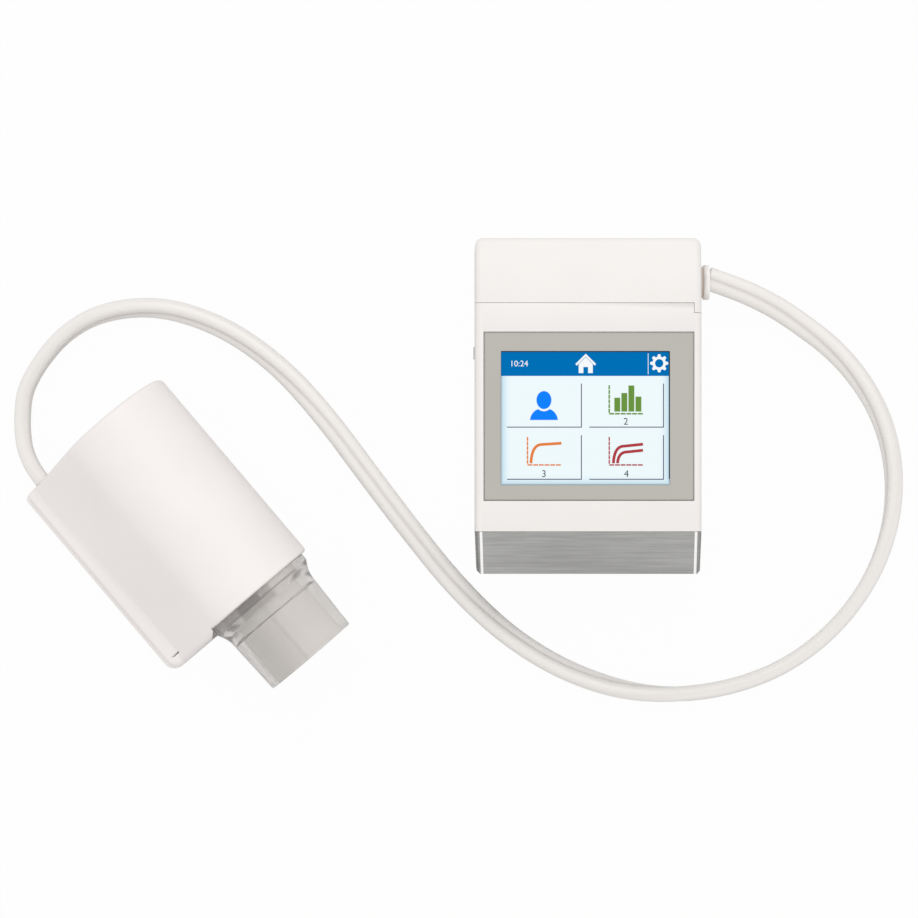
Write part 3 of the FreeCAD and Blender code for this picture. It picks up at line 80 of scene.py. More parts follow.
def gridFaces(rows, columns, wrapRows=False, wrapColumns=False):
    # Quads of a grid whose points are numbered row by row
    rowIndex = np.arange(rows if wrapRows else rows - 1)
    columnIndex = np.arange(columns if wrapColumns else columns - 1)
    i, j = np.meshgrid(rowIndex, columnIndex, indexing="ij")
    nextRow, nextColumn = (i + 1) % rows, (j + 1) % columns
    corners = [
        i * columns + j,
        i * columns + nextColumn,
        nextRow * columns + nextColumn,
        nextRow * columns + j,
    ]
    return np.stack([corner.ravel() for corner in corners], 1)


def faceOutward(piece, merge=2e-6):
    shell = bmesh.new()
    shell.from_mesh(piece.data)
    bmesh.ops.remove_doubles(shell, verts=shell.verts, dist=merge)
    bmesh.ops.recalc_face_normals(shell, faces=shell.faces)
    shell.to_mesh(piece.data)
    shell.free()
    piece.data.update()
    return piece


# the free tube: its route, its section and how it twists
tube = {
    "boreSpacing": 0.0030,
    "boreWall": 0.00278,
    "width": 0.00856,
    "length": 0.583,
    "rings": 620,
    "pointsAround": 44,
    "curveOrder": 3,
    "curveSteps": 24,
    # rings to each side over which the twist is evened out
    "softening": 10,
    "textureLength": 0.01,
    # degrees of twist against millimetres from the recorder
    "twist": [
        (0, -3), (30, -8), (42, -14), (54, -30), (66, -40), (78, -52), (102, -70), (126, -88),
        (150, -100), (236, -100), (252, -76), (266, -52), (282, -43), (306, -34), (330, -12),
        (360, -5), (400, 0), (414, 10), (426, 22), (438, 36), (474, 45), (486, 53), (498, 62),
        (510, 70), (522, 78), (534, 86), (590, 94),
    ],
}
tubeRoute = [
    (0.1273, 0.0679, 0.0155),
    (0.1335, 0.0658, 0.0150),
    (0.1445, 0.0619, 0.0122),
    (0.1580, 0.0552, 0.0075),
    (0.1799, 0.0392, 0.0037),
    (0.1946, 0.0162, 0.0044),
    (0.1990, -0.0107, 0.0045),
    (0.1931, -0.0373, 0.0045),
    (0.1782, -0.0600, 0.0045),
    (0.1569, -0.0768, 0.0045),
    (0.1312, -0.0855, 0.0043),
    (0.1042, -0.0867, 0.0037),
    (0.0781, -0.0792, 0.0034),
    (0.0548, -0.0654, 0.0032),
    (0.0352, -0.0469, 0.0032),
    (0.0183, -0.0260, 0.0032),
    (0.0021, -0.0046, 0.0037),
    (-0.0139, 0.0171, 0.0043),
    (-0.0319, 0.0371, 0.0044),
    (-0.0543, 0.0523, 0.0044),
    (-0.0806, 0.0595, 0.0045),
    (-0.1074, 0.0532, 0.0045),
    (-0.1256, 0.0310, 0.0045),
    (-0.1273, 0.0140, 0.0052),
    (-0.1246, 0.0000, 0.0069),
    (-0.1185, -0.0073, 0.0072),
]


def smoothRoute(points):
    # Points of the NURBS spline through the route, closely spaced
    curve = bpy.data.curves.new("tubeRoute", "CURVE")
    curve.dimensions = "3D"
    spline = curve.splines.new("NURBS")
    spline.points.add(len(points) - 1)
    for point, place in zip(spline.points, points):
        point.co = (*place, 1.0)
    spline.order_u = tube["curveOrder"]
    spline.use_endpoint_u = True
    spline.resolution_u = tube["curveSteps"]
    holder = bpy.data.objects.new("tubeRoute", curve)
    bpy.context.scene.collection.objects.link(holder)
    bpy.context.view_layer.update()
    shaped = holder.evaluated_get(bpy.context.evaluated_depsgraph_get())
    line = bpy.data.meshes.new_from_object(shaped)
    read = np.array([vertex.co[:] for vertex in line.vertices])
    bpy.data.objects.remove(holder)
    bpy.data.meshes.remove(line)
    return read


def evenlySpaced(points, count):
    # The same line cut at equal lengths, and the length from its start to each point
    steps = np.linalg.norm(np.diff(points, axis=0), axis=1)
    along = np.concatenate([[0.0], np.cumsum(steps)])
    wanted = np.linspace(0.0, along[-1], count)
    return np.stack([np.interp(wanted, along, points[:, k]) for k in range(3)], 1), wanted


def twinSection(angle):
    # The farther of two circles seen from the middle: centres half the bore spacing to each
    # side, so the distance is spacing*|cos| + the root of wall squared less (spacing*sin) squared
    half, wall = tube["boreSpacing"] / 2, tube["boreWall"]
    reach = half * np.abs(np.cos(angle)) + np.sqrt(wall**2 - (half * np.sin(angle)) ** 2)
    return reach * np.cos(angle), reach * np.sin(angle)


def makeTwinTube():
    # Surface point = centre + across*(section x) + up*(section y), the section turned by the
    # twist at that length; across lies level and up is square to both across and the line
    centres, along = evenlySpaced(smoothRoute(tubeRoute), tube["rings"])
    heading = np.gradient(centres, axis=0)
    heading /= np.linalg.norm(heading, axis=1)[:, None]
    across = np.cross(heading, [0.0, 0.0, 1.0])
    across /= np.linalg.norm(across, axis=1)[:, None]
    up = np.cross(across, heading)
    stops = np.array(tube["twist"], float)
    twist = np.radians(np.interp(along / millimetre, stops[:, 0], stops[:, 1]))
    reach = tube["softening"]
    window = np.ones(2 * reach + 1) / (2 * reach + 1)
    softened = np.convolve(np.pad(twist, reach, "edge"), window, "valid")
    angle = np.linspace(0.0, 2 * np.pi, tube["pointsAround"], endpoint=False)
    x, y = twinSection(angle)
    turnedX = np.outer(np.cos(softened), x) - np.outer(np.sin(softened), y)
    turnedY = np.outer(np.sin(softened), x) + np.outer(np.cos(softened), y)
    rings = (
        centres[:, None, :]
        + across[:, None, :] * turnedX[:, :, None]
        + up[:, None, :] * turnedY[:, :, None]
    )
    # the lowest rings rest on the table
    lift = np.minimum(rings[:, :, 2].min(axis=1), 0.0)
    rings[:, :, 2] -= lift[:, None]
    centres[:, 2] -= lift
    rows, columns = rings.shape[:2]
    faces = gridFaces(rows, columns, wrapColumns=True).tolist()
    faces.append(list(range(columns)))
    faces.append(list(range((rows - 1) * columns, rows * columns))[::-1])
    piece = meshPiece("twinTube", rings.reshape(-1, 3), faces)
    layer = piece.data.uv_layers.new(name="around")
    loops = np.zeros(len(piece.data.loops), int)
    piece.data.loops.foreach_get("vertex_index", loops)
    around = np.tile(np.arange(columns) / columns, rows)
    lengthwise = np.repeat(along / tube["textureLength"], columns)
    layer.data.foreach_set("uv", np.stack([around[loops], lengthwise[loops]], 1).ravel())
    faceOutward(piece)
    return piece, centres, along[-1]


twinTube, tubeCentres, tubeLength = makeTwinTube()
print(f"tube made, {tubeLength:.3f} m long")


# clear adapter: lengths along the barrel's axis and radii, in millimetres
adapter = {
    "origin": (-91.3, 15.8, 23.5), "heading": -49.7, "sides": 160, "edgeRound": 0.35,
    "spigot": 73.4, "face": 82.4, "flare": 85.0, "flareSteps": 16, "waist": 92.5, "mouth": 113.0,
    "spigotRadius": 19.2, "flangeRadius": 21.4, "waistRadius": 18.9, "mouthRadius": 18.15,
    "groove": (76.95, 78.85, 17.55), "chamberRadius": 16.9, "throat": (87.6, 92.0, 14.3),
    "mouthBore": 15.4, "boreStart": 92.8,
    "colour": (0.90, 0.875, 0.853), "transmission": 0.75, "refraction": 1.22,
    "ripple": 700.0, "rippleDepth": 0.000002, "rippleStrength": 0.2, "gloss": (0.08, 0.14),
    # painted shade and highlights: level from the left side to the right one, seen from above,
    # over twice this half width
    "toneHalfWidth": 20.0,
    "tones": [(0.03, 0.86), (0.10, 0.98), (0.15, 0.84), (0.30, 0.88), (0.47, 0.94), (0.50, 0.90),
              (0.54, 0.99), (0.85, 1.00), (0.97, 0.90)],
}
# the barrel's darker tab behind the adapter, in millimetres along, beside and above its axis;
# each pair goes from where nothing of it is seen to where it is seen in full
barrelTab = {
    "beside": 0.75, "halfWidth": (8.0, 6.6), "along": (88.4, 87.4), "above": (10.0, 12.0),
    "strength": 0.38, "tone": (0.30, 0.28, 0.27),
}


# materials
def newMaterial(name):
    material = bpy.data.materials.new(name)
    material.use_nodes = True
    shader = material.node_tree.nodes["Principled BSDF"]
    return material, material.node_tree, shader


def addNode(tree, kind, **settings):
    node = tree.nodes.new(kind)
    for key, value in settings.items():
        if key in node.inputs:
            node.inputs[key].default_value = value
        else:
            setattr(node, key, value)
    return node


def objectPlace(tree, scale=(1.0, 1.0, 1.0)):
    place = addNode(tree, "ShaderNodeTexCoord")
    mapping = addNode(tree, "ShaderNodeMapping")
    mapping.inputs["Scale"].default_value = scale
    tree.links.new(place.outputs["Object"], mapping.inputs["Vector"])
    return mapping.outputs["Vector"]


def shade(colour, factor):
    return tuple(min(1.0, channel * factor) for channel in colour[:3]) + (1.0,)


def ramp(tree, source, stops):
    node = addNode(tree, "ShaderNodeValToRGB")
    elements = node.color_ramp.elements
    while len(elements) < len(stops):
        elements.new(0.5)
    for element, (position, colour) in zip(elements, stops):
        element.position = position
        element.color = colour
    tree.links.new(source, node.inputs["Fac"])
    return node.outputs["Color"]


def spread(tree, source, low, high):
    node = addNode(tree, "ShaderNodeMapRange")
    node.inputs["To Min"].default_value = low
    node.inputs["To Max"].default_value = high
    tree.links.new(source, node.inputs["Value"])
    return node.outputs["Result"]


def addBump(tree, shader, source, distance, strength=0.4):
    bump = addNode(tree, "ShaderNodeBump")
    bump.inputs["Strength"].default_value = strength
    bump.inputs["Distance"].default_value = distance
    tree.links.new(source, bump.inputs["Height"])
    tree.links.new(bump.outputs["Normal"], shader.inputs["Normal"])


def noise(tree, place, **settings):
    node = addNode(tree, "ShaderNodeTexNoise", **settings)
    tree.links.new(place, node.inputs["Vector"])
    return node.outputs["Fac"]


# what all moulded and all brushed surfaces share
surface = {
    "cloudDetail": 4.0, "grainDetail": 2.0, "lighterShare": 0.6, "glossSwing": 0.06,
    "streakDetail": 5.0, "streakRoughness": 0.65, "shinier": 0.08, "duller": 0.10,
}


def moulded(name, colour, roughness=0.42, variation=0.02, grain=2600.0, depth=0.00001,
            cloud=35.0, coat=0.0, specular=0.4):
    # Moulded plastic or rubber: a faint cloud in the colour, fine spark-eroded grain, and
    # a gloss that changes a little from place to place
    material, tree, shader = newMaterial(name)
    place = objectPlace(tree)
    broad = noise(tree, place, Scale=cloud, Detail=surface["cloudDetail"])
    colours = ramp(tree, broad, [
        (0.3, shade(colour, 1.0 - variation)),
        (0.7, shade(colour, 1.0 + variation * surface["lighterShare"])),
    ])
    tree.links.new(colours, shader.inputs["Base Color"])
    fine = noise(tree, place, Scale=grain, Detail=surface["grainDetail"])
    swing = surface["glossSwing"]
    gloss = spread(tree, fine, roughness - swing, roughness + swing)
    tree.links.new(gloss, shader.inputs["Roughness"])
    addBump(tree, shader, fine, depth)
    shader.inputs["Specular IOR Level"].default_value = specular
    shader.inputs["Coat Weight"].default_value = coat
    return material


def brushed(name, colour, scale, roughness, contrast, depth=0.000006):
    # Metal brushed along one direction: noise stretched along it for colour, gloss and bump
    material, tree, shader = newMaterial(name)
    streaks = noise(tree, objectPlace(tree, scale), Scale=1.0, Detail=surface["streakDetail"],
                    Roughness=surface["streakRoughness"])
    colours = ramp(tree, streaks, [
        (0.28, shade(colour, 1.0 - contrast)),
        (0.72, shade(colour, 1.0 + contrast)),
    ])
    tree.links.new(colours, shader.inputs["Base Color"])
    gloss = spread(tree, streaks, roughness - surface["shinier"], roughness + surface["duller"])
    tree.links.new(gloss, shader.inputs["Roughness"])
    shader.inputs["Metallic"].default_value = 1.0
    addBump(tree, shader, streaks, depth)
    return material


def combine(tree, operation, first, second=0.0):
    # The result of an operation on two values, each a number or a socket
    node = addNode(tree, "ShaderNodeMath", operation=operation)
    for socket, value in zip(node.inputs, (first, second)):
        if isinstance(value, float):
            socket.default_value = value
        else:
            tree.links.new(value, socket)
    return node.outputs["Value"]


def blend(tree, amount, low, high):
    # Colour low where the amount is 0 and colour high where it is 1
    node = addNode(tree, "ShaderNodeMixRGB")
    for socket, value in (("Fac", amount), ("Color1", low), ("Color2", high)):
        if isinstance(value, tuple):
            node.inputs[socket].default_value = value
        else:
            tree.links.new(value, node.inputs[socket])
    return node.outputs["Color"]


def localAxes(tree, origin, heading=0.0):
    # Lengths in metres along and beside a heading, from an origin
    place = addNode(tree, "ShaderNodeTexCoord")
    mapping = addNode(tree, "ShaderNodeMapping", vector_type="TEXTURE")
    mapping.inputs["Location"].default_value = origin
    mapping.inputs["Rotation"].default_value = (0.0, 0.0, math.radians(heading))
    tree.links.new(place.outputs["Object"], mapping.inputs["Vector"])
    parts = addNode(tree, "ShaderNodeSeparateXYZ")
    tree.links.new(mapping.outputs["Vector"], parts.inputs["Vector"])
    return parts.outputs


def within(tree, source, low, high):
    # 0 at the low length and below, 1 at the high length and above
    node = addNode(tree, "ShaderNodeMapRange")
    node.inputs["From Min"].default_value = low
    node.inputs["From Max"].default_value = high
    tree.links.new(source, node.inputs["Value"])
    return node.outputs["Result"]


band = {
    "tone": (0.385, 0.382, 0.376), "levels": [(0.50, 0.78), (0.72, 1.0), (0.95, 1.28)],
    "streaks": (45.0, 3400.0, 45.0), "streakDetail": 6.0, "streakRoughness": 0.7,
    "streakDepth": 0.000006, "clouds": (22.0, 90.0, 22.0), "cloudShare": 0.45,
    "gloss": (0.28, 0.48), "middleX": 0.0825, "lean": -0.029, "near": 0.0380, "far": 0.0420,
    # where the painted highlight of the rounded edges starts and ends, as shares of the way from
    # near to far
    "paintedHighlight": [(0.27, 0), (0.30, 1), (0.51, 1), (0.54, 0)], "highlightTone": (1.0, 0.99, 0.98),
}


def bandMetal():
    # Metal brushed from side to side, its tone clouded over a few millimetres; along both
    # ends a bright strip is painted highlight, the light caught by the band's rounded edges.
    # Distance of a point from the middle line = |x| + lean*y, so that the painted highlight
    # follows the draft of the band
    material, tree, shader = newMaterial("bandMetal")
    streaks = noise(tree, objectPlace(tree, band["streaks"]), Scale=1.0,
                    Detail=band["streakDetail"], Roughness=band["streakRoughness"])
    clouds = noise(tree, objectPlace(tree, band["clouds"]), Scale=1.0)
    both = combine(tree, "ADD", combine(tree, "MULTIPLY", clouds, band["cloudShare"]), streaks)
    brushedTone = ramp(tree, both, [
        (position, shade(band["tone"], level)) for position, level in band["levels"]])
    parts = localAxes(tree, (band["middleX"], 0.0, 0.0))
    lean = combine(tree, "MULTIPLY", parts["Y"], band["lean"])
    reach = combine(tree, "ADD", combine(tree, "ABSOLUTE", parts["X"]), lean)
    # painted highlight: a bright strip along each rounded edge of the band
    paintedHighlight = ramp(tree, within(tree, reach, band["near"], band["far"]), [
        (position, (level, level, level, 1)) for position, level in band["paintedHighlight"]])
    colours = blend(tree, paintedHighlight, brushedTone, shade(band["highlightTone"], 1.0))
    tree.links.new(colours, shader.inputs["Base Color"])
    tree.links.new(spread(tree, streaks, *band["gloss"]), shader.inputs["Roughness"])
    shader.inputs["Metallic"].default_value = 1.0
    addBump(tree, shader, streaks, band["streakDepth"])
    return material


def clearPlastic():
    # See-through plastic, its tone changing from side to side with painted shade and highlights
    # for the thickness looked through, and the darker tab of the barrel showing behind its
    # shoulder
    material, tree, shader = newMaterial("smokyClear")
    parts = localAxes(tree, tuple(v * millimetre for v in adapter["origin"]), adapter["heading"])
    halfWidth = adapter["toneHalfWidth"] * millimetre
    tones = ramp(tree, within(tree, parts["Y"], -halfWidth, halfWidth), [
        (position, shade(adapter["colour"], level)) for position, level in adapter["tones"]])
    beside = combine(tree, "ADD", parts["Y"], barrelTab["beside"] * millimetre)
    share = barrelTab["strength"]
    for place, ends in ((combine(tree, "ABSOLUTE", beside), "halfWidth"), (parts["X"], "along"),
                        (parts["Z"], "above")):
        low, high = barrelTab[ends]
        inside = within(tree, place, low * millimetre, high * millimetre)
        share = combine(tree, "MULTIPLY", inside, share)
    colours = blend(tree, share, tones, shade(barrelTab["tone"], 1.0))
    tree.links.new(colours, shader.inputs["Base Color"])
    flow = noise(tree, objectPlace(tree), Scale=adapter["ripple"])
    tree.links.new(spread(tree, flow, *adapter["gloss"]), shader.inputs["Roughness"])
    shader.inputs["Transmission Weight"].default_value = adapter["transmission"]
    shader.inputs["IOR"].default_value = adapter["refraction"]
    addBump(tree, shader, flow, adapter["rippleDepth"], adapter["rippleStrength"])
    return material


silicone = {
    # painted shade: tone from the outer flanks, at 0, to the grooves, at 0.5, darker at both
    "tones": [(0.0, (0.83, 0.80, 0.772)), (0.16, (0.895, 0.868, 0.842)),
              (0.36, (0.89, 0.863, 0.837)), (0.50, (0.77, 0.737, 0.708))],
    "haze": 160.0, "hazeDepth": 0.00003, "hazeStrength": 0.2, "gloss": (0.30, 0.42),
    "scatter": 0.45, "scatterRadius": (0.005, 0.005, 0.0045), "scatterScale": 0.5,
}


def softTube():
    # Milky silicone with painted shade: darker where the walls are seen edge on, and a darker line
    # along the groove.
    # Twice the share of the way round, folded back at each half, is 0 at both outer flanks
    # and 0.5 at both grooves
    material, tree, shader = newMaterial("milkySilicone")
    place = addNode(tree, "ShaderNodeUVMap", uv_map="around")
    parts = addNode(tree, "ShaderNodeSeparateXYZ")
    tree.links.new(place.outputs["UV"], parts.inputs["Vector"])
    fold = combine(tree, "PINGPONG", combine(tree, "MULTIPLY", parts.outputs["X"], 2.0), 0.5)
    tones = ramp(tree, fold, [
        (position, shade(colour, 1.0)) for position, colour in silicone["tones"]])
    tree.links.new(tones, shader.inputs["Base Color"])
    haze = noise(tree, objectPlace(tree), Scale=silicone["haze"])
    tree.links.new(spread(tree, haze, *silicone["gloss"]), shader.inputs["Roughness"])
    shader.inputs["Subsurface Weight"].default_value = silicone["scatter"]
    shader.inputs["Subsurface Radius"].default_value = silicone["scatterRadius"]
    shader.inputs["Subsurface Scale"].default_value = silicone["scatterScale"]
    addBump(tree, shader, haze, silicone["hazeDepth"], silicone["hazeStrength"])
    return material


finishes = {
    "shellPlastic": moulded("shellPlastic", (0.905, 0.873, 0.848)),
    "headPlastic": moulded("headPlastic", (0.943, 0.898, 0.88), roughness=0.45),
    "panelPrint": moulded("panelPrint", (0.495, 0.48, 0.435), roughness=0.3, variation=0.03,
                          cloud=12.0, depth=0.000002, coat=0.4),
    # the darker edge of the touch panel: painted shade of the gap around it
    "panelGapShade": moulded("panelGapShade", (0.36, 0.345, 0.32), roughness=0.35),
    "palePlug": moulded("palePlug", (0.98, 0.95, 0.925), roughness=0.5),
    # a darker grey that paints the shade in the latch's slot
    "paintedSlotShade": moulded("paintedSlotShade", (0.62, 0.60, 0.58), roughness=0.5),
    "keyGrey": moulded("keyGrey", (0.72, 0.70, 0.68), roughness=0.5),
    "darkRubber": moulded("darkRubber", (0.035, 0.034, 0.033), roughness=0.65, variation=0.15),
    "boardGreen": moulded("boardGreen", (0.02, 0.13, 0.06), roughness=0.3, variation=0.2,
                          cloud=400.0, coat=0.3),
    "chipBlack": moulded("chipBlack", (0.02, 0.02, 0.022), roughness=0.5, variation=0.3),
    "sleeveGrey": moulded("sleeveGrey", (0.55, 0.54, 0.52), roughness=0.45),
    # the socket's collar: a tan that paints the shadow in the gap between case and plug
    "paintedSocketShadow": moulded("paintedSocketShadow", (0.60, 0.52, 0.45), roughness=0.45),
    "cellJacket": moulded("cellJacket", (0.05, 0.06, 0.08), roughness=0.28, variation=0.3,
                          cloud=120.0, coat=0.5),
    "platedMetal": brushed("platedMetal", (0.70, 0.69, 0.67), (900.0, 900.0, 900.0), 0.25, 0.08),
    "screwSteel": brushed("screwSteel", (0.52, 0.52, 0.52), (1500.0, 1500.0, 1500.0), 0.32, 0.15),
    "foil": brushed("foil", (0.66, 0.66, 0.66), (300.0, 300.0, 2500.0), 0.3, 0.12),
    "sheetSteel": brushed("sheetSteel", (0.55, 0.55, 0.55), (80.0, 2500.0, 80.0), 0.38, 0.1),
    "hoseSilicone": moulded("hoseSilicone", (0.80, 0.79, 0.76), roughness=0.4),
    "displayGlass": moulded("displayGlass", (0.05, 0.06, 0.07), roughness=0.15, coat=0.8),
}
finishes["bandMetal"] = bandMetal()
finishes["smokyClear"] = clearPlastic()
finishes["milkySilicone"] = softTube()
print("materials made")


# nodes whose shape is kept, the outer ones as merged and smoothly shaded copies
nodeFinish = {
    "rear_case": "shellPlastic", "front_case": "shellPlastic", "battery_door": "shellPlastic",
    "power_button": "keyGrey", "power_switch": "chipBlack", "display_module": "displayGlass",
    "display_frame": "sheetSteel", "main_board": "boardGreen", "port_board": "boardGreen",
    "board_components": "chipBlack", "pressure_sensor": "chipBlack", "buzzer": "chipBlack",
    "sensor_tubes": "hoseSilicone", "port_hoses": "hoseSilicone", "tube_socket": "paintedSocketShadow",
    "usb_socket": "platedMetal", "battery_cells": "cellJacket", "battery_contacts": "platedMetal",
    "case_screws": "screwSteel", "flowhead_screws": "screwSteel", "rubber_feet": "darkRubber",
    "sleeve_seals": "darkRubber", "adapter_seal": "darkRubber", "flowhead_cover": "headPlastic",
    "flowhead_base": "headPlastic", "exhaust_guard": "headPlastic", "element_sleeve": "sleeveGrey",
    "spacer_rings": "sleeveGrey", "fleisch_element": "foil", "inlet_screen": "screwSteel",
    "outlet_screen": "screwSteel", "tube_grommet": "palePlug", "tube_plug": "palePlug",
    "base_trim": "bandMetal",
}
bodyOf = {
    node: body
    for body, members in frame["record"]["behaviour"]["bodies"].items()
    for node in members
}


def finish(piece, body, node=None):
    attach(piece, body)
    if node:
        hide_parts(node)
    return piece


def smoothCopy(node, degrees=28.0, merge=1e-6):
    # The node's own triangles, joined at their corners, with soft shading over its curves;
    # edges that turn by more than the angle stay sharp
    mesh = cadNodes[node].data.copy()
    piece = bpy.data.objects.new("".join(w.capitalize() for w in node.split("_")), mesh)
    bpy.context.scene.collection.objects.link(piece)
    shell = bmesh.new()
    shell.from_mesh(mesh)
    bmesh.ops.remove_doubles(shell, verts=shell.verts, dist=merge)
    shell.to_mesh(mesh)
    shell.free()
    mesh.shade_smooth()
    mesh.set_sharp_from_angle(angle=math.radians(degrees))
    evenShading = piece.modifiers.new("evenShading", "WEIGHTED_NORMAL")
    evenShading.keep_sharp = True
    mesh.materials.clear()
    mesh.materials.append(finishes[nodeFinish[node]])
    finish(piece, bodyOf[node], node)


softShaded = [
    "rear_case", "front_case", "battery_door", "flowhead_cover", "flowhead_base",
    "base_trim", "exhaust_guard", "power_button",
    "tube_plug", "tube_grommet", "tube_socket", "rubber_feet", "element_sleeve",
]
for node in softShaded:
    smoothCopy(node)
for node, finishName in nodeFinish.items():
    if node not in softShaded:
        cadNodes[node].data.materials.clear()
        cadNodes[node].data.materials.append(finishes[finishName])
print("CAD nodes finished")


def softCorners(corners, radius, steps=6, share=0.45):
    # Each corner becomes a curve that leaves one edge and joins the next a radius from it, or
    # that share of a short edge: point = (1-t)^2*before + 2t(1-t)*corner + t^2*after
    corners = np.asarray(corners, float)
    points = []
    for edge in (np.roll(corners, 1, 0) - corners, np.roll(corners, -1, 0) - corners):
        size = np.linalg.norm(edge, axis=1)
        points.append(corners + edge * (np.minimum(radius, share * size) / size)[:, None])
    t = np.linspace(0, 1, steps)[None, :, None]
    before, after = points[0][:, None], points[1][:, None]
    curve = (1 - t) ** 2 * before + 2 * t * (1 - t) * corners[:, None] + t**2 * after
    return curve.reshape(-1, 2)


def makeClearAdapter():
    # The closed outline turned about the barrel's axis: point = origin + axis*length
    # + side*radius*cos(turn) + up*radius*sin(turn). The flare is an arc tangent to the waist:
    # radius = waist radius + bend - root of bend squared less (length to the waist) squared
    a = adapter
    grooveStart, grooveEnd, grooveRadius = a["groove"]
    throatStart, throatEnd, throatRadius = a["throat"]
    run, rise = a["waist"] - a["flare"], a["flangeRadius"] - a["waistRadius"]
    bend = (run**2 + rise**2) / (2 * rise)
    lengths = np.linspace(a["waist"], a["flare"], a["flareSteps"])
    flare = a["waistRadius"] + bend - np.sqrt(bend**2 - (a["waist"] - lengths) ** 2)
    outline = [
        (a["spigot"], a["chamberRadius"]), (a["flare"], a["chamberRadius"]),
        (throatStart, throatRadius), (throatEnd, throatRadius), (a["boreStart"], a["mouthBore"]),
        (a["mouth"], a["mouthBore"]), (a["mouth"], a["mouthRadius"]),
        *zip(lengths, flare),
        (a["face"], a["flangeRadius"]), (a["face"], a["spigotRadius"]),
        (grooveEnd, a["spigotRadius"]), (grooveEnd, grooveRadius),
        (grooveStart, grooveRadius), (grooveStart, a["spigotRadius"]),
        (a["spigot"], a["spigotRadius"]),
    ]
    profile = softCorners(outline, a["edgeRound"])
    turn = np.linspace(0, 2 * np.pi, a["sides"], endpoint=False)
    heading = math.radians(a["heading"])
    axis = np.array([math.cos(heading), math.sin(heading), 0.0])
    side = np.array([-math.sin(heading), math.cos(heading), 0.0])
    spoke = np.outer(np.cos(turn), side) + np.outer(np.sin(turn), [0.0, 0.0, 1.0])
    points = (np.array(a["origin"]) + profile[:, None, :1] * axis
              + profile[:, None, 1:] * spoke[None, :, :])
    faces = gridFaces(len(profile), a["sides"], wrapRows=True, wrapColumns=True)
    piece = meshPiece("clearAdapter", points.reshape(-1, 3) * millimetre, faces,
                      finishes["smokyClear"])
    faceOutward(piece)
    piece.modifiers.new("evenShading", "WEIGHTED_NORMAL")
    finish(piece, "mouth_adapter", "mouthpiece_adapter")


# touch panel: a printed surround with a window, and the lit display a little below it
panelLow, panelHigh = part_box("touch_panel")
panel = {
    "left": 50.80, "right": 111.95, "top": 40.50, "bottom": -7.95,
    "cornerRadius": 0.8, "windowRadius": 0.35, "chamfer": 0.12, "gapShadeWidth": 0.45,
    "windowDepth": 0.40,
}
glowTop = panelHigh.z / millimetre - panel["windowDepth"]
windowMiddle = np.array([panel["left"] + panel["right"], panel["top"] + panel["bottom"]]) / 2
windowHalf = np.array([panel["right"] - panel["left"], panel["top"] - panel["bottom"]]) / 2


def roundedLoop(middle, half, radius, perCorner=8):
    # Quarter circles about the four inner corners, counterclockwise from the right-hand side
    turn = np.linspace(0, np.pi / 2, perCorner)[None, :] + np.arange(4)[:, None] * np.pi / 2
    signX = np.array([1, -1, -1, 1])[:, None]
    signY = np.array([1, 1, -1, -1])[:, None]
    x = middle[0] + signX * (half[0] - radius) + radius * np.cos(turn)
    y = middle[1] + signY * (half[1] - radius) + radius * np.sin(turn)
    return np.stack([x.ravel(), y.ravel()], 1)


def raised(loop, height):
    return np.column_stack([loop, np.full(len(loop), height)])


def makePanelSurround():
    # Loops from the outer lower edge over the top to the inner lower edge, closed into a ring
    low, high = np.array(panelLow) / millimetre, np.array(panelHigh) / millimetre
    middle, half = (low + high)[:2] / 2, (high - low)[:2] / 2
    top, chamfer, line = high[2], panel["chamfer"], panel["gapShadeWidth"]
    radius = panel["cornerRadius"]
    loops = [
        raised(roundedLoop(middle, half, radius), low[2]),
        raised(roundedLoop(middle, half, radius), top - chamfer),
        raised(roundedLoop(middle, half - chamfer, radius - chamfer), top),
        raised(roundedLoop(middle, half - line, radius - line), top),
        raised(roundedLoop(windowMiddle, windowHalf, panel["windowRadius"]), top),
        raised(roundedLoop(windowMiddle, windowHalf, panel["windowRadius"]), glowTop),
        raised(roundedLoop(windowMiddle, windowHalf, panel["windowRadius"]), low[2]),
    ]
    rows, columns = len(loops), len(loops[0])
    faces = gridFaces(rows, columns, wrapRows=True, wrapColumns=True)
    piece = meshPiece("panelSurround", np.concatenate(loops) * millimetre, faces, smooth=False)
    piece.data.materials.append(finishes["panelPrint"])
    piece.data.materials.append(finishes["panelGapShade"])
    # the outer side, the chamfer and a narrow border of the top get the darker material, a painted
    # shade of the gap around the panel
    bandRow = np.arange(len(faces)) // columns
    index = np.isin(bandRow, [0, 1, 2]).astype(np.int32)
    piece.data.polygons.foreach_set("material_index", index)
    faceOutward(piece)
    finish(piece, "devices", "touch_panel")


def platePiece(name, outlines, low, high, material):
    # Each outline is carried from the low height to the high one and closed at both
    points, faces = [], []
    for outline in outlines:
        count, first = len(outline), sum(len(block) for block in points)
        points.append(np.concatenate([raised(outline, low), raised(outline, high)]))
        faces.extend((gridFaces(2, count, wrapColumns=True) + first).tolist())
        faces.append(list(range(first + count, first + 2 * count)))
        faces.append(list(range(first + count - 1, first - 1, -1)))
    piece = meshPiece(name, np.concatenate(points) * millimetre, faces, material, smooth=False)
    return finish(faceOutward(piece), "devices")


latch = {
    "middle": (-69.0, -70.6), "heading": -49.7, "width": 0.58, "length": 2.95, "top": 14.2,
    "thickness": 0.4,
}


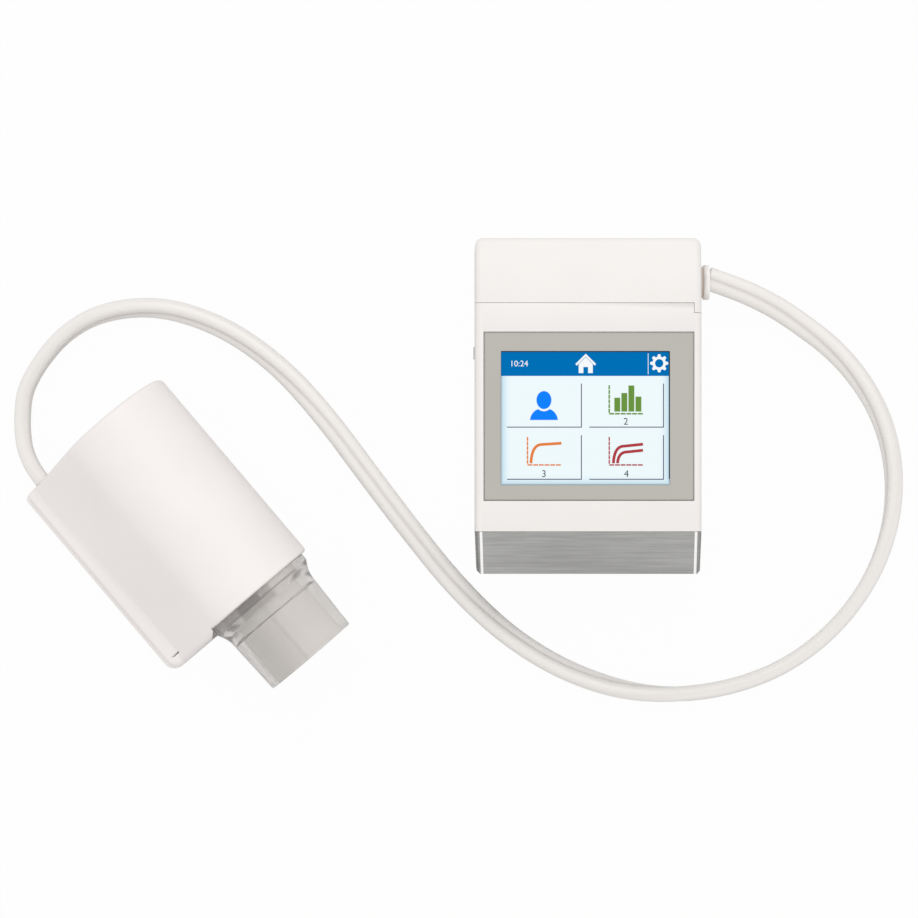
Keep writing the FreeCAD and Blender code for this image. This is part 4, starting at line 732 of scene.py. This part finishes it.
def makeLatchFloor():
    # The floor of the latch's slot, a little below the wing, its darker grey a painted shade in
    # the slot
    heading = math.radians(latch["heading"])
    along = np.array([math.cos(heading), math.sin(heading)]) * latch["width"] / 2
    across = np.array([-math.sin(heading), math.cos(heading)]) * latch["length"] / 2
    corners = np.array([-along - across, along - across, along + across, -along + across])
    low = latch["top"] - latch["thickness"]
    plate = platePiece("latchFloor", [corners + latch["middle"]], low, latch["top"],
                       finishes["paintedSlotShade"])


def onScreen(points):
    # From millimetres right of and below the window's upper left corner to the row frame
    return np.asarray(points, float) * [1, -1] + [panel["left"], panel["top"]]


def box(x0, x1, y0, y1):
    return onScreen([(x0, y0), (x1, y0), (x1, y1), (x0, y1)])


def stroke(points, width):
    # A ribbon: the line moved half its width to each side along its normal
    points = np.asarray(points, float)
    heading = np.gradient(points, axis=0)
    heading /= np.linalg.norm(heading, axis=1)[:, None]
    side = heading[:, ::-1] * [1, -1] * width / 2
    return onScreen(np.concatenate([points + side, (points - side)[::-1]]))


def dashes(x0, x1, y0, y1, width, count=6, share=0.86):
    # Short bars in a row from one point to the other, along one axis
    starts = np.linspace([x0, y0], [x1, y1], count + 1)
    step = (starts[1] - starts[0]) * share
    across = np.array([width / 2 if x0 == x1 else 0, width / 2 if y0 == y1 else 0])
    return [
        box(*np.column_stack([start - across, start + step + across]).ravel())
        for start in starts[:-1]
    ]


def risingCurve(x0, y0, bendX, topY, x1, endY, lean=0.3, bendSteps=18, levelSteps=8):
    # A quadratic curve from nearly straight up to level, then a nearly level line:
    # point = (1-t)^2*start + 2t(1-t)*control + t^2*stop
    t = np.linspace(0, 1, bendSteps)[:, None]
    start, control, stop = (np.array(p) for p in ([x0, y0], [x0 + lean, topY], [bendX, topY]))
    bend = (1 - t) ** 2 * start + 2 * t * (1 - t) * control + t**2 * stop
    level = np.linspace([bendX, topY], [x1, endY], levelSteps)[1:]
    return np.concatenate([bend, level])


def ellipse(x, y, radiusX, radiusY, count=40):
    turn = np.linspace(0, 2 * np.pi, count, endpoint=False)
    return onScreen(np.column_stack([x + radiusX * np.cos(turn), y + radiusY * np.sin(turn)]))


def shoulders(figure, count=41):
    # A dome on a flat foot, its height = full height*(1 - |across|^side)^crown, cut by an
    # ellipse about the head's middle that keeps it clear of the head
    x, headY = figure["head"][:2]
    foot, (side, crown), (clearX, clearY) = figure["foot"], figure["dome"], figure["clearance"]
    across = np.linspace(-1, 1, count)
    beside = across * figure["halfWidth"]
    dome = foot - figure["height"] * (1 - np.abs(across) ** side) ** crown
    notch = headY + clearY * np.sqrt(np.clip(1 - (beside / clearX) ** 2, 0, None))
    top = np.where(np.abs(beside) < clearX, np.maximum(dome, notch), dome)
    line = np.column_stack([x + beside, np.minimum(top, foot)])
    sole = [(x + end * figure["halfWidth"], foot + figure["sole"]) for end in (1, -1)]
    return onScreen(np.concatenate([line, sole]))


def digits(name, text, place, height, material, low, high, numeralShare=0.7):
    # Plain numerals in the built-in face, centred on their place; a numeral is that share of
    # the face's size in height
    curve = bpy.data.curves.new(name, "FONT")
    curve.body = text
    curve.size = height / numeralShare
    curve.align_x = "CENTER"
    curve.extrude = (high - low) / 2
    holder = bpy.data.objects.new(name + "Text", curve)
    bpy.context.scene.collection.objects.link(holder)
    bpy.context.view_layer.update()
    mesh = bpy.data.meshes.new_from_object(holder)
    bpy.data.objects.remove(holder)
    middle = onScreen([(place[0], place[1] + height / 2)])[0]
    mesh.transform(Matrix.Translation((middle[0], middle[1], (low + high) / 2)))
    mesh.transform(Matrix.Scale(millimetre, 4))
    mesh.materials.clear()
    mesh.materials.append(material)
    piece = bpy.data.objects.new(name, mesh)
    bpy.context.scene.collection.objects.link(piece)
    finish(piece, "devices")


def lightUp(tree, shader, source, tones, share=0.5, roughness=0.4):
    # Partly reflected, partly its own light: the colour at each place times its level
    for socket, factor in (("Base Color", 1 - share), ("Emission Color", 1.0)):
        colours = ramp(tree, source, [
            (place, shade(colour, factor * level)) for place, colour, level in tones])
        tree.links.new(colours, shader.inputs[socket])
    shader.inputs["Emission Strength"].default_value = share
    shader.inputs["Roughness"].default_value = roughness
    shader.inputs["Specular IOR Level"].default_value = 0.0


def litPrint(name, colour, grain=1800.0):
    # A colour of the lit display with a fine grain
    material, tree, shader = newMaterial(name)
    speck = noise(tree, objectPlace(tree), Scale=grain)
    lightUp(tree, shader, speck, [(0.3, colour, 0.985), (0.7, colour, 1.01)])
    return material


glow = {
    "reach": 0.004,
    # colour from the window's edge, at 0, to the reach from it, at 1; the darker, bluer end is
    # painted shade
    "tones": [(0.0, (0.42, 0.57, 0.68), 1.0), (0.22, (0.64, 0.81, 0.90), 1.0),
              (0.6, (0.81, 0.93, 0.97), 1.0), (1.0, (0.87, 0.96, 0.98), 1.0)],
}


def glowMaterial():
    # The display's pale field, bluer and darker close to the window's edges with painted shade.
    # The distance to the nearest edge is half the window less the distance from its middle, the
    # smaller of the two directions
    material, tree, shader = newMaterial("displayField")
    parts = localAxes(tree, (*(windowMiddle * millimetre).tolist(), 0.0))
    gaps = [
        combine(tree, "SUBTRACT", half, combine(tree, "ABSOLUTE", parts[axis]))
        for axis, half in zip("XY", (windowHalf * millimetre).tolist())
    ]
    inward = within(tree, combine(tree, "MINIMUM", *gaps), 0.0, glow["reach"])
    lightUp(tree, shader, inward, glow["tones"])
    return material


# what the display shows, in millimetres right of and below the window's upper left corner;
# "edge" is the gap beside the lit field, "step" the height of each of its layers
screen = {
    "edge": 0.12, "foot": 0.05, "step": 0.03, "header": 9.03,
    "inks": {
        "headerBlue": (0.0, 0.162, 0.474), "iconWhite": (0.93, 0.96, 0.98),
        "tileLine": (0.10, 0.09, 0.17), "personBlue": (0.007, 0.223, 1.0),
        "barGreen": (0.150, 0.300, 0.055), "curveOrange": (0.80, 0.22, 0.055),
        "curveRed": (0.44, 0.048, 0.062), "windowShadow": (0.03, 0.05, 0.09),
        "labelInk": (0.06, 0.08, 0.10),
    },
    "divider": {"left": 53.15, "right": 53.38, "top": 0.9, "gapBelow": 0.6},
    "shadow": {"width": 0.42, "gapBelow": 2.2},
    "home": {
        "middle": (30.7, 4.55),
        "roof": [(-3.75, 0.15), (0, -3.55), (3.75, 0.15), (3.25, 0.75), (0, -2.55), (-3.25, 0.75)],
        "walls": [(-2.55, 0.25), (0, -2.35), (2.55, 0.25), (2.55, 3.45), (0.85, 3.45),
                  (0.85, 1.25), (-0.85, 1.25), (-0.85, 3.45), (-2.55, 3.45)],
    },
    "gear": {"middle": (57.24, 4.45), "teeth": 8, "radius": 2.85, "swing": 0.42,
             "steepness": 1.9, "hole": 1.5, "points": 192},
    "clock": {"text": "10:24", "place": (6.6, 4.5), "height": 2.1},
    "tiles": {"columns": [(2.24, 29.30), (32.00, 58.98)],
              "rows": [(11.78, 27.70), (30.43, 46.55)], "line": 0.34},
    "figure": {"head": (15.6, 17.75, 2.7, 3.25), "foot": 24.95, "sole": 0.01, "halfWidth": 5.05,
               "height": 4.2, "dome": (2.6, 0.62), "clearance": (3.5, 4.05)},
    "bars": {"left": 41.05, "pitch": 2.55, "width": 2.1, "foot": 21.9,
             "heights": [5.0, 6.7, 9.4, 5.4],
             "axes": [(39.2, 39.2, 12.4, 22.6, 0.55), (39.2, 51.6, 22.7, 22.7, 0.55)]},
    "curves": {
        "singleCurve": {
            "ink": "curveOrange", "width": 0.98,
            "axes": [(9.65, 9.65, 31.1, 41.0, 0.5), (9.65, 21.97, 41.2, 41.2, 0.5)],
            "lines": [(10.9, 40.6, 14.9, 33.8, 21.9, 33.35)],
        },
        "doubleCurve": {
            "ink": "curveRed", "width": 1.02,
            "axes": [(39.2, 39.2, 31.1, 41.0, 0.5), (39.2, 51.6, 41.2, 41.2, 0.5)],
            "lines": [(40.7, 40.6, 44.6, 34.4, 51.4, 33.7), (42.2, 40.6, 45.7, 36.5, 51.4, 35.9)],
        },
    },
    "numbers": {"first": 2, "places": [(45.2, 25.4), (15.6, 44.3), (45.4, 44.3)], "height": 2.5},
}


def gearRing(gear, low, high, material):
    # Radius of the rim = radius + swing*(steepness*cos(teeth*turn) cut off at 1 and -1), which
    # gives teeth with flat tops and roots
    turn = np.linspace(0, 2 * np.pi, gear["points"], endpoint=False)
    wave = np.clip(gear["steepness"] * np.cos(gear["teeth"] * turn), -1, 1)
    rim = gear["radius"] + gear["swing"] * wave
    circle = np.column_stack([np.cos(turn), np.sin(turn)])
    outer = onScreen(gear["middle"] + circle * rim[:, None])
    inner = onScreen(gear["middle"] + circle * gear["hole"])
    loops = [raised(inner, low), raised(inner, high), raised(outer, high), raised(outer, low)]
    faces = gridFaces(4, len(turn), wrapRows=True, wrapColumns=True)
    piece = meshPiece("settingsMark", np.concatenate(loops) * millimetre, faces, material, False)
    finish(faceOutward(piece), "devices")


def chartAxes(chart):
    return [bar for axis in chart["axes"] for bar in dashes(*axis)]


def makeHeader(ink, width, field, layer, mark):
    edge, header, divider = screen["edge"], screen["header"], screen["divider"]
    platePiece("headerBar", [box(edge, width - edge, edge, header)], field, layer,
               ink["headerBlue"])
    platePiece("headerDivider", [
        box(divider["left"], divider["right"], divider["top"], header - divider["gapBelow"]),
    ], layer, mark, ink["iconWhite"])
    home, clock = screen["home"], screen["clock"]
    shapes = [onScreen(np.array(home[part]) + home["middle"]) for part in ("roof", "walls")]
    platePiece("homeMark", shapes, layer, mark, ink["iconWhite"])
    gearRing(screen["gear"], layer, mark, ink["iconWhite"])
    digits("clockDigits", clock["text"], clock["place"], clock["height"], ink["iconWhite"],
           layer, mark)


def makeTiles(ink, field, layer, mark):
    tiles, figure, bars, numbers = (screen[key] for key in ("tiles", "figure", "bars", "numbers"))
    lines, line = [], tiles["line"]
    for x0, x1 in tiles["columns"]:
        for y0, y1 in tiles["rows"]:
            lines.append(box(x1 - line, x1, y0, y1))
            lines.append(box(x0, x1 - line, y1 - line, y1))
    platePiece("tileLines", lines, field, layer, ink["tileLine"])
    platePiece("personMark", [ellipse(*figure["head"]), shoulders(figure)], layer, mark,
               ink["personBlue"])
    blocks = []
    for k, tall in enumerate(bars["heights"]):
        left = bars["left"] + bars["pitch"] * k
        blocks.append(box(left, left + bars["width"], bars["foot"] - tall, bars["foot"]))
    platePiece("barChart", blocks + chartAxes(bars), layer, mark, ink["barGreen"])
    for name, chart in screen["curves"].items():
        curves = [stroke(risingCurve(*points), chart["width"]) for points in chart["lines"]]
        platePiece(name, chartAxes(chart) + curves, layer, mark, ink[chart["ink"]])
    for number, place in enumerate(numbers["places"], numbers["first"]):
        digits(f"tileNumber{number}", str(number), place, numbers["height"], ink["labelInk"],
               field, layer)


def makeDisplay():
    # The lit field, what lies on it, and the marks a layer above that
    edge, shadow = screen["edge"], screen["shadow"]["width"]
    width, height = windowHalf * 2
    field, layer, mark = (glowTop + level * screen["step"] for level in range(3))
    ink = {name: litPrint(name, colour) for name, colour in screen["inks"].items()}
    platePiece("displayField", [box(edge, width - edge, edge, height - edge)],
               panelLow.z / millimetre + screen["foot"], field, glowMaterial())
    platePiece("windowEdge", [
        box(edge, width - edge, edge, shadow),
        box(width - shadow, width - edge, shadow, height - screen["shadow"]["gapBelow"]),
    ], layer, mark, ink["windowShadow"])
    makeHeader(ink, width, field, layer, mark)
    makeTiles(ink, field, layer, mark)


makeClearAdapter()
print("clear adapter made")
makeLatchFloor()
makePanelSurround()
makeDisplay()
print("panel and display made")

twinTube.data.materials.append(finishes["milkySilicone"])
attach(twinTube, "devices")
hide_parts("twin_tube")


# table and light
stage = {
    "half": 3.0, "tableHeight": -0.00005, "ownLight": 0.972, "tableTone": 0.66,
    "tableRoughness": 0.9, "speckScale": 20.0, "speckChange": 0.01,
    "worldStrength": 0.82, "keyPower": 8.2, "keySize": 1.2, "keyPlace": (0.0, 1.0, 1.75),
}


def mixShaders(tree, amount, first, second):
    node = addNode(tree, "ShaderNodeMixShader")
    for socket, source in zip(node.inputs, (amount, first, second)):
        tree.links.new(source, socket)
    return node.outputs["Shader"]


def makeStage():
    # A grey table to everything but the camera, which sees most of its tone as its own light.
    # From below the table isn't there, so that the feet and the battery door can be seen
    half, tone, change = stage["half"], stage["tableTone"], stage["speckChange"]
    corners = [(x, y, stage["tableHeight"]) for x, y in
               ((-half, -half), (half, -half), (half, half), (-half, half))]
    material, tree, shader = newMaterial("paleTable")
    shader.inputs["Roughness"].default_value = stage["tableRoughness"]
    shader.inputs["Specular IOR Level"].default_value = 0.0
    speck = noise(tree, objectPlace(tree), Scale=stage["speckScale"])
    colours = ramp(tree, speck, [
        (0.3, shade((1.0, 1.0, 1.0), tone * (1 - change))),
        (0.7, shade((1.0, 1.0, 1.0), tone * (1 + change)))])
    tree.links.new(colours, shader.inputs["Base Color"])
    ownLight = addNode(tree, "ShaderNodeEmission", Strength=1.0)
    path = addNode(tree, "ShaderNodeLightPath")
    seen = combine(tree, "MAXIMUM", path.outputs["Is Camera Ray"],
                   path.outputs["Is Transmission Ray"])
    amount = combine(tree, "MULTIPLY", seen, stage["ownLight"])
    fromAbove = mixShaders(tree, amount, shader.outputs["BSDF"], ownLight.outputs["Emission"])
    side = addNode(tree, "ShaderNodeNewGeometry")
    clear = addNode(tree, "ShaderNodeBsdfTransparent")
    shown = mixShaders(tree, side.outputs["Backfacing"], fromAbove, clear.outputs["BSDF"])
    tree.links.new(shown, tree.nodes["Material Output"].inputs["Surface"])
    table = meshPiece("table", corners, [(0, 1, 2, 3)], material, smooth=False)


def makeLight():
    world = bpy.data.worlds.new("softRoom")
    bpy.context.scene.world = world
    world.use_nodes = True
    tree = world.node_tree
    background = tree.nodes["Background"]
    background.inputs["Color"].default_value = (1.0, 1.0, 1.0, 1.0)
    path = addNode(tree, "ShaderNodeLightPath")
    level = addNode(tree, "ShaderNodeMapRange")
    level.inputs["To Min"].default_value = stage["worldStrength"]
    level.inputs["To Max"].default_value = 1.0
    tree.links.new(path.outputs["Is Camera Ray"], level.inputs["Value"])
    tree.links.new(level.outputs["Result"], background.inputs["Strength"])
    lamp = bpy.data.lights.new("keyPanel", "AREA")
    lamp.energy = stage["keyPower"]
    lamp.size = stage["keySize"]
    key = bpy.data.objects.new("keyPanel", lamp)
    key.location = stage["keyPlace"]
    key.rotation_euler = Vector(key.location).to_track_quat("Z", "Y").to_euler()
    bpy.context.scene.collection.objects.link(key)


makeStage()
makeLight()
bpy.context.scene.view_settings.view_transform = "Standard"
print("stage and light made")
